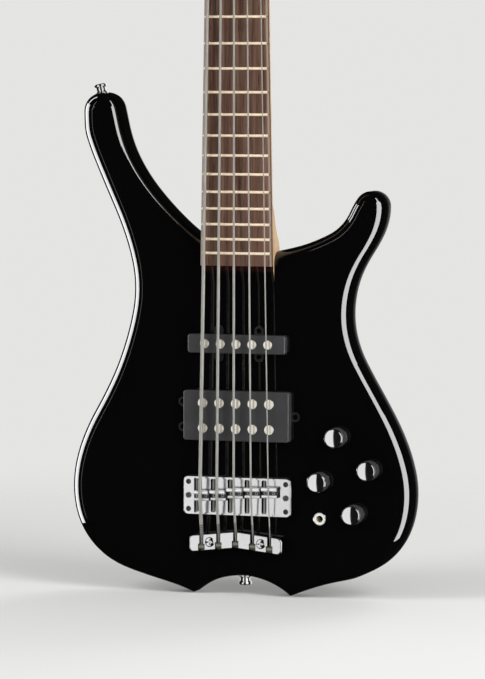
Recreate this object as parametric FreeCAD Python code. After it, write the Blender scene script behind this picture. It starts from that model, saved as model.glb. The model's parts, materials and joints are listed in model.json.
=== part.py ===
# Five-string electric bass guitar, in millimetres.
# +X is the treble side, +Y the back, +Z runs up along the neck.
# The origin is the centre of the end strap button's mouth, on the middle plane of the body.
import FreeCAD
import Part
import math
import os

Vector = FreeCAD.Vector

# Strings, from the thickest, on the bass side, to the thinnest
string_names = ("b", "e", "a", "d", "g")
string_diameters = (3.3, 2.67, 2.16, 1.65, 1.14)
scale_length = 863.6
bridge_pitch = 16.4
nut_pitch = 9.2
rise_at_nut = 1.7
rise_at_saddle = 4.2
string_clearance = 0.25
winding_turns = 1.75
winding_gap = 0.8
ball_radius = 2.9
ball_length = 5.2

# Body: heights are measured from the saddle line, widths from the centre line;
# the lower bout lies a little towards the bass side, by bout_shift
body_thickness = 40.0
edge_round = 12.0
round_steps = 5
lower_bout_width = 329.2
bout_shift = 0.8
waist_width = 208.6
tip_half_width = 47.0
tip_drop = 100.3
notch_drop = 83.3
tip_way = (0.92, 0.39)
bass_horn_x = -136.5
bass_horn_z = 345.0
bass_horn_radius = 17.4
treble_horn_x = 122.6
treble_horn_z = 259.2
treble_horn_radius = 14.4

# Outline points between those sizes, as steps across and up from the size that each belongs to
tip_points = ((-65.0, 16.3), (-37.0, 27.5))
bout_points = ((-8.5, -42.5), (0.0, -5.0), (-9.4, 41.0))
flank_point = (-6.5, 94.0)
bass_waist_points = ((6.1, 143.0), (0.0, 181.0), (9.1, 229.0))
treble_waist_points = ((1.4, 140.0), (-0.7, 168.0), (8.4, 201.6))
bass_flank_point = (0.6, -63.0)
bass_shoulder_point = (2.6, -25.0)
treble_flank_point = (7.7, -27.2)
bass_cutaway_points = ((24.0, -25.0), (40.5, -58.0))
heel_points = ((-68.0, 254.0), (-38.0, 229.0), (0.0, 214.5), (37.0, 218.4), (68.0, 227.0))
treble_cutaway_point = (-26.6, -15.7)

# Neck and fingerboard
board_rise = 9.5
board_thickness = 6.5
board_crown_radius = 508.0
board_width_at_nut = 46.0
board_width_at_end = 68.2
board_overhang = 11.4
neck_depth_at_nut = 14.5
neck_depth_at_heel = 16.5
neck_fullness = 0.9
pocket_depth = 17.0
pocket_clearance = 0.15
tongue_end = 150.5
tongue_ramp = 18.0
heel_start = 221.0
heel_blend = 40.0
heel_feather = 1.0
heel_curve = 0.45
heel_directions = (Vector(0, 0.75, -0.66), Vector(0, 0.25, -0.97))

# Frets and nut
fret_count = 24
fret_width = 2.6
fret_height = 1.2
fret_inset = 0.3
tang_width = 0.5
tang_depth = 1.6
fret_seat_gap = 0.03
nut_thickness = 5.0
nut_round = 1.2
slot_clearance = 0.08

# Headstock, drawn flat and tilted back
head_tilt = 12.0
head_thickness = 15.0
head_length = 194.0
head_shoulder = 44.0
head_end_half_width = 32.0
head_end_round = 18.0
head_root_point = (4.0, 15.0)
head_side_points = ((-3.0, 36.0), (0.0, 54.0), (-4.0, 104.0))
head_edge = 1.2

# Truss rod
rod_diameter = 6.0
rod_axis_depth = 7.5
rod_clearance = 0.15
rod_nut_diameter = 7.6
rod_nut_length = 11.0
rod_nut_key = 4.0
access_width = 11.0
access_length = 38.0
access_corner = 3.0
rod_cover_width = 24.0
rod_cover_length = 50.0
rod_cover_thickness = 2.0
rod_cover_tip_width = 13.2
rod_cover_crown = 4.8
rod_cover_gap = 0.5
rod_cover_edge = 0.5
rod_cover_screw_x = 8.6
rod_cover_screw_ends = (5.0, 45.0)

# Tuners: post places on the headstock, as distance from the centre line and distance up
post_places = {
    "b": (-30.0, 50.0),
    "e": (-27.5, 98.0),
    "a": (-25.0, 146.0),
    "d": (26.0, 116.0),
    "g": (29.5, 66.0),
}
post_shank_diameter = 8.0
post_drum_diameter = 9.6
post_flange_diameter = 13.4
post_flange_rim = 1.0
post_cap_diameter = 11.4
post_collar_height = 3.4
post_drum_height = 12.6
post_cap_height = 2.6
post_slot_width = 3.4
post_play = 0.05
drum_clearance = 0.3
bushing_diameter = 11.0
bushing_flange_diameter = 18.0
bushing_flange_height = 1.6
bushing_edge = 0.5
housing_width = 22.0
housing_below = 12.0
housing_above = 17.0
housing_depth = 16.0
housing_ear = 7.0
housing_ear_width = 8.4
housing_ear_thickness = 2.5
housing_corner = 3.0
worm_offset = 10.0
key_shaft_diameter = 5.4
key_shaft_depth = 9.0
key_collar_diameter = 8.6
key_collar_length = 2.0
key_reach = 34.0
key_button_length = 20.0
key_button_width = 27.0
key_button_thickness = 7.0
key_button_edge = 1.8

# Neck joint on the back
plate_width = 54.0
plate_height = 46.0
plate_thickness = 2.5
plate_corner = 6.0
plate_edge = 0.6
plate_centre = 174.0
plate_screw_inset = 8.0
neck_screw_diameter = 4.6
neck_screw_head = 8.4
neck_screw_grip = 11.0

# Pickups: centre height from the saddle line, then sizes of the covers
neck_pickup_z = 132.5
neck_pickup_length = 93.5
neck_pickup_width = 17.2
neck_pickup_rise = 8.0
neck_pole_diameter = 8.8
neck_pole_pitch = 15.2
neck_ear_x = 19.5
bridge_pickup_z = 66.3
bridge_pickup_length = 101.4
bridge_pickup_width = 46.0
bridge_pickup_rise = 9.0
bridge_pole_diameter = 9.4
bridge_pole_pitch = 16.0
bridge_pole_rows = 23.4
cover_wall = 1.5
cover_corner = 2.4
cover_edge = 0.9
rout_depth = 20.0
rout_clearance = 0.5
ear_radius = 4.5
ear_reach = 3.6
ear_thickness = 2.5
ear_recess = 0.5
pole_proud = 0.3
pole_length = 15.0
pole_edge = 0.4
pickup_play = 0.15
ear_screw_diameter = 2.6
ear_screw_head = 5.0
ear_screw_length = 26.0

# Bridge frame, with its tray and slots
frame_width = 103.8
frame_top = 9.7
frame_bottom = -26.0
frame_height = 5.0
frame_corner = 4.4
frame_edge = 0.8
tray_width = 83.4
tray_rim = 1.7
tray_floor = 2.8
screw_slot_width = 4.8
screw_slot_inset = 0.6
screw_slot_corner = 1.6
screw_slot_offset = 7.4
frame_hole_pitch = 12.6
frame_hole_inset = 4.9
level_screw_diameter = 4.8
level_screw_recess = 2.2
level_screw_socket = 1.2
frame_screw_diameter = 3.6
frame_screw_head = 5.2
frame_screw_drop = 0.8
frame_screw_ring = 0.4
frame_screw_length = 24.0

# Saddles: heights are above the body's front
saddle_setbacks = (4.6, 3.8, 1.4, 0.6, 0.0)
saddle_gap = 2.2
saddle_bar = 3.4
saddle_channel = 3.6
saddle_rear_bar = 2.8
saddle_foot = 4.0
saddle_channel_floor = 8.4
saddle_rear_top = 11.0
saddle_bite = 0.6
break_setback = 4.0
break_tangent = 2.0
height_screw_diameter = 3.2
height_screw_offset = 3.9
height_screw_proud = 1.2
lug_width = 3.0
lug_length = 4.0
lug_foot = 0.4
pitch_screw_diameter = 2.2
pitch_screw_lift = 1.5
pitch_screw_head = 3.6
pitch_screw_head_length = 2.0
thread_play = 0.1

# Tailpiece: two straight wings that fall away from the middle
tail_width = 89.4
tail_top = -39.9
tail_length = 15.6
tail_drop = 5.1
tail_corner = 4.2
tail_height = 10.4
tail_edge = 1.4
tail_slot_width = 4.0
tail_slot_floor = 4.6
tail_pocket_width = 6.4
ball_lift = 0.9
tail_string_height = 7.0
tail_screw_x = 24.7
tail_screw_head = 9.0
tail_screw_diameter = 4.6
tail_screw_length = 34.0
tail_screw_dome = 1.1

# Controls: knob and jack places as distance from the centre line and height from the saddle line
knob_places = {
    "volume": (94.9, 49.1),
    "balance": (125.7, 19.9),
    "treble": (78.6, 7.9),
    "bass": (111.4, -21.0),
}
jack_place = (78.5, -26.4)
knob_diameter = 18.0
knob_height = 14.5
knob_gap = 1.0
knob_edge = 1.8
knob_edge_steps = 3
knob_foot = 0.5
knob_recess_diameter = 14.0
knob_recess_depth = 4.4
knob_bore_depth = 11.5
shaft_diameter = 6.0
shaft_play = 0.05
pot_diameter = 17.0
pot_height = 9.0
pot_edge = 0.8
pot_bush_diameter = 7.0
pot_bush_proud = 3.0
panel_clearance = 0.15
panel_nut_flats = 10.0
panel_nut_height = 2.0
cavity_roof = 8.0
cavity_margin = 17.0
cover_lip = 5.0
cover_thickness = 2.5
cover_clearance = 0.2
cover_screw_diameter = 2.4
cover_screw_head = 4.4
cover_screw_length = 12.0
jack_bore = 6.4
jack_bush_diameter = 9.5
jack_bush_proud = 2.2
jack_flange_diameter = 15.0
jack_flange_thickness = 3.0
jack_nut_diameter = 12.4
jack_nut_edge = 0.6
jack_spring_width = 4.0
jack_spring_thickness = 0.8
jack_spring_length = 20.0

# Amplifier board and battery
board_width = 38.0
board_height = 26.0
board_sheet = 1.6
board_centre = (101.0, 13.0)
standoff_diameter = 5.0
standoff_height = 4.0
chip_size = 9.0
chip_pitch = 11.7
chip_height = 3.2
battery_length = 48.5
battery_width = 26.5
battery_depth = 17.5
battery_play = 0.8
battery_centre = (-88.0, 2.0)
battery_corner = 2.0
battery_stud = 2.6
channel_diameter = 6.0

# Strap buttons
button_length = 9.2
button_diameter = 12.0
button_waist = 8.8
button_base = 2.0
button_rim = 2.8
button_edge = 0.8
button_flare = 1.0
button_bore = 6.2
button_bore_depth = 6.0
button_recess = 0.3
button_floor = 1.4
button_seat = 1.0
button_lean = 12.0
button_screw_diameter = 3.6
button_screw_head = 5.8
button_screw_head_height = 1.6
button_screw_length = 26.0

# Screw heads, as shares of the head's diameter, and small lengths
head_rim = 0.4
recess_arm = 0.31
recess_width = 0.07
recess_depth = 0.22
dome_steps = 3
overcut = 1.0
same = 1e-6

# Levels worked out from the sizes above
front = -body_thickness / 2
back = body_thickness / 2
saddle_line = button_length + notch_drop
board_top = front - board_rise
neck_top = board_top + board_thickness
pocket_floor = front + pocket_depth
nut_line = saddle_line + scale_length
board_end = saddle_line + scale_length * 2 ** (-fret_count / 12) - board_overhang
cavity_ceiling = front + cavity_roof
head_base = Vector(0, neck_top, nut_line + nut_thickness)
head_frame = FreeCAD.Placement(head_base, FreeCAD.Rotation(Vector(1, 0, 0), -head_tilt))
FORWARD = Vector(0, -1, 0)
BACKWARD = Vector(0, 1, 0)
UP = Vector(0, 0, 1)


# Small helpers
def save(name, *solids):
    """Write the solids of one node to its own file."""
    shape = solids[0] if len(solids) == 1 else Part.makeCompound(list(solids))
    shape.exportStep("parts/" + name + ".step")


def on_body(x, height, y=0.0):
    """Return the point at a height above the saddle line."""
    return Vector(x, y, saddle_line + height)


def slab(x0, x1, y0, y1, z0, z1):
    """Return a block between opposite corners."""
    return Part.makeBox(x1 - x0, y1 - y0, z1 - z0, Vector(x0, y0, z0))


def rod(start, axis, diameter, length):
    """Return a round bar from a point along an axis."""
    return Part.makeCylinder(diameter / 2, length, start, axis)


def polygon(points):
    """Return the closed wire through the points."""
    return Part.makePolygon(list(points) + [points[0]])


def prism(wire, along):
    """Return the solid that a closed flat wire sweeps along a vector."""
    return Part.Face(wire).extrude(along)


def arc(first, middle, last):
    """Return the arc edge through three points."""
    return Part.Arc(first, middle, last).toShape()


def line(first, last):
    """Return a straight edge."""
    return Part.LineSegment(first, last).toShape()


def smooth(points, first_way, last_way):
    """Return the smooth curve through the points with given end directions."""
    spline = Part.BSplineCurve()
    spline.interpolate(Points=points, InitialTangent=first_way, FinalTangent=last_way)
    return spline


def curve(points, first_way, last_way):
    """Return a smooth edge through the points with given end directions."""
    return smooth(points, first_way, last_way).toShape()


def arc_between(start, apex, end):
    """Return the arc that touches start-apex at start and apex-end at end."""
    chord_middle = (start + end) * 0.5
    half_chord = start.distanceToPoint(end) / 2
    rise = apex.distanceToPoint(chord_middle)
    if rise < 1e-6:
        return line(start, end)
    turn = math.atan2(rise, half_chord)
    towards = (apex - chord_middle).normalize()
    return arc(start, chord_middle + towards * half_chord * math.tan(turn / 2), end)


def biarc(first, first_way, last, last_way):
    """Return two arcs that join two points and their directions smoothly."""
    span = last - first
    both = first_way + last_way
    bend = 2 * (1 - first_way.dot(last_way))
    along = span.dot(both)
    reach = (math.sqrt(along ** 2 + bend * span.dot(span)) - along) / bend
    first_apex = first + first_way * reach
    last_apex = last - last_way * reach
    middle = (first_apex + last_apex) * 0.5
    return [arc_between(first, first_apex, middle), arc_between(middle, last_apex, last)]


def turned(profile, base, axis):
    """Revolve a profile of (radius, height) points about an axis that starts at base."""
    wire = polygon([Vector(radius, 0, height) for radius, height in profile])
    solid = Part.Face(wire).revolve(Vector(0, 0, 0), UP, 360)
    spin = FreeCAD.Placement(base, FreeCAD.Rotation(UP, axis))
    return solid.transformed(spin.toMatrix(), True)


def edges_along(shape, direction):
    """Return the straight edges of a shape that run along a direction."""
    found = []
    for edge in shape.Edges:
        if edge.Curve.TypeId != "Part::GeomLine":
            continue
        if abs(abs(edge.Curve.Direction.dot(direction)) - 1) < same:
            found.append(edge)
    return found


def edges_at(shape, y):
    """Return the edges of a shape that lie in the plane at depth y."""
    found = []
    for edge in shape.Edges:
        middle = edge.valueAt((edge.FirstParameter + edge.LastParameter) / 2)
        points = [vertex.Point for vertex in edge.Vertexes] + [middle]
        if all(abs(point.y - y) < same for point in points):
            found.append(edge)
    return found


def rounded_slab(x0, x1, y0, y1, z0, z1, corner):
    """Return a block whose four edges along Y are rounded."""
    block = slab(x0, x1, y0, y1, z0, z1)
    return block.makeFillet(corner, edges_along(block, BACKWARD))


def hexagon_bar(centre, axis, flats, length):
    """Return a hexagonal bar, measured across its flats."""
    corner = flats / math.sqrt(3)
    spin = FreeCAD.Placement(centre, FreeCAD.Rotation(UP, axis))
    angles = [math.radians(60 * side) for side in range(6)]
    ring = [spin.multVec(Vector(corner * math.cos(a), corner * math.sin(a), 0)) for a in angles]
    return prism(polygon(ring), axis * length)


def screw_blank(centre, inward, head, diameter, length, dome=0.0):
    """Return the outer form of a countersunk screw whose head's rim is centred at a point."""
    sink = head_rim + (head - diameter) / 2
    profile = []
    for step in range(dome_steps + 1) if dome else (0, dome_steps):
        turn = math.radians(90 * step / dome_steps)
        profile.append((head / 2 * math.sin(turn), -dome * math.cos(turn)))
    profile += [(head / 2, head_rim), (diameter / 2, sink), (diameter / 2, length - diameter), (0, length)]
    return turned(profile, centre, inward)


def cross_screw(centre, inward, head, diameter, length, dome=0.0):
    """Return a countersunk screw along Y, flat or domed, with a cross recess in its head."""
    arm = head * recess_arm
    half = head * recess_width
    deep = centre.y + inward.y * head * recess_depth
    low, high = sorted((centre.y - inward.y * (dome + overcut), deep))
    across = slab(centre.x - arm, centre.x + arm, low, high, centre.z - half, centre.z + half)
    upright = slab(centre.x - half, centre.x + half, low, high, centre.z - arm, centre.z + arm)
    return screw_blank(centre, inward, head, diameter, length, dome).cut([across, upright])


def sink_cut(centre, inward, head, diameter, length):
    """Return the hole that a countersunk screw sits in."""
    play = thread_play
    return screw_blank(centre, inward, head + 2 * play, diameter + 2 * play, length + play + diameter)


def fillet_limit(wanted, wall):
    """Return a fillet radius that its wall can hold."""
    return min(wanted, 0.45 * wall)


# Body outline: named tips and horns, with smooth stretches of arcs between them
bass_horn = (bass_horn_x, bass_horn_z, bass_horn_radius, (180, 96, 13))
treble_horn = (treble_horn_x, treble_horn_z, treble_horn_radius, (145, 72, 0))


def horn_points(horn):
    """Return the first, middle and last point of a horn's round end."""
    x, height, radius, angles = horn
    turns = [math.radians(angle) for angle in angles]
    return [on_body(x + radius * math.cos(turn), height + radius * math.sin(turn)) for turn in turns]


def horn_way(horn, end):
    """Return the direction of travel at one end of a horn's arc."""
    turn = math.radians(horn[3][end])
    return Vector(math.sin(turn), 0, -math.cos(turn))


def arc_chain(points, first_way, last_way):
    """Return arcs that run smoothly through the points with given end directions."""
    spline = smooth(points, first_way, last_way)
    ways = [spline.tangent(spline.parameter(point))[0] for point in points]
    edges = []
    for step in range(len(points) - 1):
        edges += biarc(points[step], ways[step], points[step + 1], ways[step + 1])
    return edges


def stepped(x, z, *steps):
    """Return points that lie some steps across and up from a place."""
    return [(x + across, z + up) for across, up in steps]


def body_arcs():
    """Return the arcs round the body: bass side, horn, cutaways, horn, treble side and notch."""
    half_bout = lower_bout_width / 2
    half_waist = waist_width / 2
    tip = (tip_half_width, -tip_drop)
    bout = stepped(half_bout, -tip_drop, *tip_points) + stepped(half_bout, 0, *bout_points)
    bout += stepped((half_bout + half_waist) / 2, 0, flank_point)
    left = [tip] + stepped(bout_shift, 0, *bout) + stepped(half_waist, 0, *bass_waist_points)
    left = [(-x, z) for x, z in left]
    left += stepped(bass_horn_x, bass_horn_z, bass_flank_point)
    left += stepped(bass_horn_x - bass_horn_radius, bass_horn_z, bass_shoulder_point)
    right = [tip] + stepped(-bout_shift, 0, *bout) + stepped(half_waist, 0, *treble_waist_points)
    right += stepped(treble_horn_x, treble_horn_z, treble_flank_point)
    inner = stepped(bass_horn_x, bass_horn_z, *bass_cutaway_points) + list(heel_points)
    inner += stepped(treble_horn_x, treble_horn_z, treble_cutaway_point)
    bass = horn_points(bass_horn)
    treble = horn_points(treble_horn)
    left_points = [on_body(x, z) for x, z in left] + [bass[0]]
    inner_points = [bass[2]] + [on_body(x, z) for x, z in inner] + [treble[0]]
    right_points = [treble[2]] + [on_body(x, z) for x, z in reversed(right)]
    edges = arc_chain(left_points, Vector(-tip_way[0], 0, tip_way[1]), horn_way(bass_horn, 0))
    edges.append(arc(*bass))
    edges += arc_chain(inner_points, horn_way(bass_horn, 2), horn_way(treble_horn, 0))
    edges.append(arc(*treble))
    edges += arc_chain(right_points, horn_way(treble_horn, 2), Vector(-tip_way[0], 0, -tip_way[1]))
    edges.append(arc(right_points[-1], on_body(0, -notch_drop), left_points[0]))
    return edges


def inward(edge, share, inset, y):
    """Return the point at a share of a body arc, moved inwards by an inset."""
    place = edge.FirstParameter + (edge.LastParameter - edge.FirstParameter) * share
    point = edge.valueAt(place)
    way = edge.tangentAt(place)
    return Vector(point.x + way.z * inset, y, point.z - way.x * inset)


def tip_corner(side, notch, tip, inset, y):
    """Return where a body arc and the notch arc meet after both are moved inwards."""
    near = Vector(side.Curve.Center.x, y, side.Curve.Center.z)
    far = Vector(notch.Curve.Center.x, y, notch.Curve.Center.z)
    near_radius = inward(side, 0.5, inset, y).distanceToPoint(near)
    far_radius = inward(notch, 0.5, inset, y).distanceToPoint(far)
    apart = near.distanceToPoint(far)
    along = (far - near).normalize()
    reach = (near_radius ** 2 - far_radius ** 2 + apart ** 2) / (2 * apart)
    offset = Vector(along.z, 0, -along.x) * math.sqrt(near_radius ** 2 - reach ** 2)
    places = [near + along * reach + offset, near + along * reach - offset]
    return min(places, key=lambda place: place.distanceToPoint(tip))


def body_wire(inset, y):
    """Return the body's closed outline, moved inwards by an inset, at a depth."""
    notch = body_edges[-1]
    left_tip = tip_corner(body_edges[0], notch, notch.valueAt(notch.LastParameter), inset, y)
    right_tip = tip_corner(body_edges[-2], notch, notch.valueAt(notch.FirstParameter), inset, y)
    edges = []
    start = left_tip
    for edge in body_edges[:-2]:
        end = inward(edge, 1.0, inset, y)
        edges.append(arc(start, inward(edge, 0.7, inset, y), end))
        start = end
    edges.append(arc(start, inward(body_edges[-2], 0.3, inset, y), right_tip))
    edges.append(arc(right_tip, inward(notch, 0.5, inset, y), left_tip))
    return Part.Wire(edges)


def rounded_body():
    """Return the body's blank: a straight wall between two edges rounded in steps."""
    turns = [math.radians(90 * step / round_steps) for step in range(round_steps + 1)]
    rounds = [(edge_round * (1 - math.sin(turn)), edge_round * (1 - math.cos(turn))) for turn in turns]
    sections = [body_wire(inset, front + deep) for inset, deep in rounds]
    sections += [body_wire(inset, back - deep) for inset, deep in reversed(rounds)]
    return Part.makeLoft(sections, True, True)


body_edges = body_arcs()


def board_half_width(z):
    """Return half the neck's width at a height in the part's frame."""
    share = (nut_line - z) / (nut_line - board_end)
    return (board_width_at_nut + (board_width_at_end - board_width_at_nut) * min(share, 1.0)) / 2


def neck_plan(y0, y1, low, high, grow=0.0):
    """Return the tapered plan of neck and tongue as a solid between two depths."""
    ends = [low, high] if low >= board_end else [low, board_end, high]
    right = [Vector(board_half_width(z) + grow, y0, z) for z in ends]
    left = [Vector(-board_half_width(z) - grow, y0, z) for z in reversed(ends)]
    return prism(polygon(right + left), Vector(0, y1 - y0, 0))


# Strings
def crown_drop(x):
    """Return how far the crowned fingerboard falls away at a distance from its middle."""
    return board_crown_radius - math.sqrt(board_crown_radius ** 2 - x ** 2)


def lane(index, height):
    """Return a string's distance from the centre line at a height above the saddle line."""
    share = max(height, 0.0) / scale_length
    return (index - 2) * (bridge_pitch + (nut_pitch - bridge_pitch) * share)


def string_point(index, height):
    """Return a point on the middle of a string between bridge and nut."""
    x = lane(index, height)
    share = height / scale_length
    rise = rise_at_saddle + (rise_at_nut - rise_at_saddle) * share
    return on_body(x, height, board_top + crown_drop(x) - rise - string_diameters[index] / 2)


def rounded_corner(before, corner, after, tangent):
    """Return the start, the end and the arc that rounds a corner of a string."""
    start = corner + (before - corner).normalize() * tangent
    end = corner + (after - corner).normalize() * tangent
    return start, end, arc_between(start, corner, end)


def winding_points(index, leave):
    """Return points and directions of a string's quarter turns on its post, in the headstock's frame."""
    name = string_names[index]
    diameter = string_diameters[index]
    x, up = post_places[name]
    radius = post_drum_diameter / 2 + drum_clearance + diameter / 2
    pitch = diameter + winding_gap
    side = 1 if x < 0 else -1
    top = bushing_flange_height + post_collar_height + drum_clearance + diameter / 2 + winding_turns * pitch
    across = x - leave.x
    along = up - leave.z
    distance = math.hypot(across, along)
    aim = math.atan2(along, across) - side * math.asin(radius / distance)
    start_angle = aim - side * math.pi / 2
    points = []
    ways = []
    for quarter in range(int(winding_turns * 4) + 1):
        angle = start_angle + side * quarter * math.pi / 2
        height = top - pitch * quarter / 4
        points.append(Vector(x + radius * math.cos(angle), -height, up + radius * math.sin(angle)))
        round_way = Vector(-side * math.sin(angle), 0, side * math.cos(angle)) * (2 * math.pi * radius)
        ways.append((round_way + Vector(0, pitch, 0)).normalize())
    ways[0] = (points[0] - leave).normalize()
    return points, ways


def string_path(index):
    """Return the edges of one string, from its ball end to the last turn on its post."""
    ball = ball_centre(index)
    bend = string_point(index, -saddle_setbacks[index] - break_setback)
    nut_point = string_point(index, scale_length)
    local_nut = head_frame.inverse().multVec(nut_point)
    points, ways = winding_points(index, local_nut)
    points = [head_frame.multVec(point) for point in points]
    ways = [head_frame.Rotation.multVec(way) for way in ways]
    bend_start, bend_end, bend_arc = rounded_corner(ball, bend, nut_point, break_tangent)
    nut_start, nut_end, nut_arc = rounded_corner(bend, nut_point, points[0], break_tangent)
    edges = [line(ball, bend_start), bend_arc, line(bend_end, nut_start), nut_arc, line(nut_end, points[0])]
    for quarter in range(len(points) - 1):
        edges += biarc(points[quarter], ways[quarter], points[quarter + 1], ways[quarter + 1])
    return edges


def tube(edges, diameter):
    """Return the round solid that follows a path of tangent edges."""
    path = Part.Wire(edges)
    start = edges[0].valueAt(edges[0].FirstParameter)
    way = edges[0].tangentAt(edges[0].FirstParameter)
    ring = Part.Wire([Part.Circle(start, way, diameter / 2).toShape()])
    shell = Part.BRepOffsetAPI.MakePipeShell(path)
    shell.add(ring)
    shell.build()
    shell.makeSolid()
    return shell.shape()


def least_gap(edges, diameter):
    """Return the least clear distance between separate turns of one wound string."""
    points = Part.Wire(edges).discretize(Distance=diameter / 4)
    skip = int(4 * 2.5)
    gaps = [first.distanceToPoint(second) for number, first in enumerate(points)
            for second in points[number + skip:]]
    return min(gaps) - diameter


def ball_centre(index):
    """Return the middle of a string's ball end in the tailpiece."""
    x = lane(index, 0)
    height = tail_top - tail_fall(x) - tail_length + ball_lift + ball_radius
    return on_body(x, height, front - tail_string_height)


def ball_end(index):
    """Return the ball end, a short drum across the string's end."""
    centre = ball_centre(index)
    drum = rod(centre - Vector(ball_length / 2, 0, 0), Vector(1, 0, 0), 2 * ball_radius, ball_length)
    bore = string_diameters[index] + 2 * slot_clearance
    return drum.cut(rod(centre - UP * ball_radius, UP, bore, 4 * ball_radius))


# Frets: a crown on a tang, bent along the fingerboard's crown
def fret_line(number):
    return nut_line - scale_length * (1 - 2 ** (-number / 12))


def fret(number):
    z = fret_line(number)
    base = board_top - fret_seat_gap
    crown_start = Vector(0, base, z - fret_width / 2)
    crown_end = Vector(0, base, z + fret_width / 2)
    tang = [(base, 1), (board_top + tang_depth, 1), (board_top + tang_depth, -1), (base, -1)]
    tang_points = [Vector(0, y, z + side * tang_width / 2) for y, side in tang]
    corners = [crown_end] + tang_points + [crown_start]
    edges = [arc(crown_start, Vector(0, board_top - fret_height, z), crown_end)]
    edges += [line(corners[step], corners[step + 1]) for step in range(len(corners) - 1)]
    reach = (board_half_width(z) - fret_inset) / (board_crown_radius + fret_height)
    half_angle = math.degrees(math.asin(reach))
    centre = Vector(0, board_top + board_crown_radius, 0)
    face = Part.Face(Part.Wire(edges))
    face.rotate(centre, UP, -half_angle)
    return face.revolve(centre, UP, 2 * half_angle)


def crowned(solid, low, high):
    """Return the part of a solid that lies under the fingerboard's crown."""
    centre = Vector(0, board_top + board_crown_radius, low)
    return solid.common(rod(centre, UP, 2 * board_crown_radius, high - low))


def make_fingerboard():
    blank = neck_plan(neck_top, board_top - board_rise, board_end, nut_line)
    board = crowned(blank, board_end, nut_line)
    half = board_width_at_end
    floor = board_top + tang_depth + crown_drop(board_width_at_end / 2) + 2 * thread_play
    play = tang_width / 2 + thread_play
    slots = []
    for number in range(1, fret_count + 1):
        z = fret_line(number)
        slots.append(slab(-half, half, board_top - fret_height, floor, z - play, z + play))
    save("fingerboard", board.cut(slots))
    save("frets", *[fret(number) for number in range(1, fret_count + 1)])


def make_nut():
    half = board_width_at_nut / 2
    top = string_point(2, scale_length).y
    end = nut_line + nut_thickness
    block = slab(-half, half, top, neck_top, nut_line, end)
    rear = [edge for edge in edges_at(block, top) if abs(edge.CenterOfMass.z - end) < same]
    block = block.makeFillet(fillet_limit(nut_round, nut_thickness), rear)
    slots = []
    for index, diameter in enumerate(string_diameters):
        slots.append(tube(string_path(index)[2:5], diameter + 2 * slot_clearance))
    save("nut", block.cut(slots))


# Neck: a lofted shaft, a square heel with its tongue, and the tilted headstock
def neck_section(z, depth):
    """Return the neck's half-round section at a height."""
    half = board_half_width(z)
    points = []
    for step in range(5):
        angle = math.pi * step / 4
        deep = depth * math.sin(angle) ** neck_fullness
        points.append(Vector(-half * math.cos(angle), neck_top + deep, z))
    return Part.Wire(arc_chain(points, BACKWARD, FORWARD) + [line(points[-1], points[0])])


def heel():
    """Return the square heel and the tongue that lies in the body's pocket."""
    low = saddle_line + tongue_end
    start = saddle_line + heel_start
    end = start + heel_blend
    ramp_end = board_end - tongue_ramp
    half = board_width_at_end
    thin = neck_top + heel_feather

    def at(y, z):
        return Vector(-half, y, z)

    profile = [at(front, low), at(front, ramp_end), at(neck_top, board_end), at(neck_top, end), at(thin, end)]
    halfway = at((thin + pocket_floor) / 2, start + heel_blend * heel_curve)
    sweep = curve([profile[-1], halfway, at(pocket_floor, start)], *heel_directions)
    foot = at(pocket_floor, low)
    edges = [line(profile[step], profile[step + 1]) for step in range(len(profile) - 1)]
    edges += [sweep, line(at(pocket_floor, start), foot), line(foot, profile[0])]
    side = Part.Face(Part.Wire(edges)).extrude(Vector(2 * half, 0, 0))
    return side.common(neck_plan(front - board_rise, pocket_floor + body_thickness, low, end))


def head_outline():
    """Return the headstock's outline, drawn flat, with the nut end at height zero."""
    root = board_width_at_nut / 2
    right = [(root, 0)] + stepped(root, 0, head_root_point) + stepped(head_shoulder, 0, *head_side_points)
    right += [(head_end_half_width, head_length - head_end_round)]
    right_points = [Vector(x, 0, z) for x, z in right]
    left_points = [Vector(-x, 0, z) for x, z in reversed(right)]
    edges = arc_chain(right_points, UP, Vector(-0.25, 0, 1))
    edges.append(arc(right_points[-1], Vector(0, 0, head_length), left_points[0]))
    edges += arc_chain(left_points, Vector(-0.25, 0, -1), -UP)
    edges.append(line(left_points[-1], right_points[0]))
    return Part.Wire(edges)


def on_head(solid):
    """Return a piece that was drawn on the flat headstock, tilted into place."""
    return solid.transformed(head_frame.toMatrix(), True)


def make_neck():
    end = nut_line + nut_thickness
    thick_end = neck_section(saddle_line + heel_start, neck_depth_at_heel)
    shaft = Part.makeLoft([thick_end, neck_section(end, neck_depth_at_nut)], True, True)
    head = prism(head_outline(), Vector(0, head_thickness, 0))
    rims = edges_at(head, 0.0) + edges_at(head, head_thickness)
    rims = [edge for edge in rims if edge.CenterOfMass.z > same]
    head = head.makeChamfer(fillet_limit(head_edge, head_thickness), rims)
    neck = shaft.fuse([heel(), on_head(head)])
    cuts = [rod_channel()]
    for name in string_names:
        x, up = post_places[name]
        reach = head_thickness + 2 * overcut
        hole = rod(Vector(x, -overcut, up), BACKWARD, bushing_diameter + 2 * post_play, reach)
        cuts.append(on_head(hole))
    cuts += [on_head(hole) for hole in head_screw_holes()]
    cuts += [screw_hole for screw_hole in neck_screw_holes(neck_screw_diameter)]
    save("neck", neck.cut(cuts).removeSplitter())


# Truss rod with its nut and cover
def rod_axis():
    return neck_top + rod_axis_depth


def rod_channel():
    """Return the channel along the neck and the access pocket behind the nut."""
    half = rod_diameter / 2 + rod_clearance
    low = board_end + board_overhang
    end = nut_line + nut_thickness
    channel = slab(-half, half, neck_top - overcut, rod_axis() + half, low, end + overcut)
    floor = rod_axis() + rod_nut_diameter / 2 + rod_clearance
    side = access_width / 2
    corner = fillet_limit(access_corner, access_width)
    pocket = rounded_slab(-side, side, neck_top - overcut, floor, end, end + access_length, corner)
    return channel.fuse(pocket)


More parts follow.
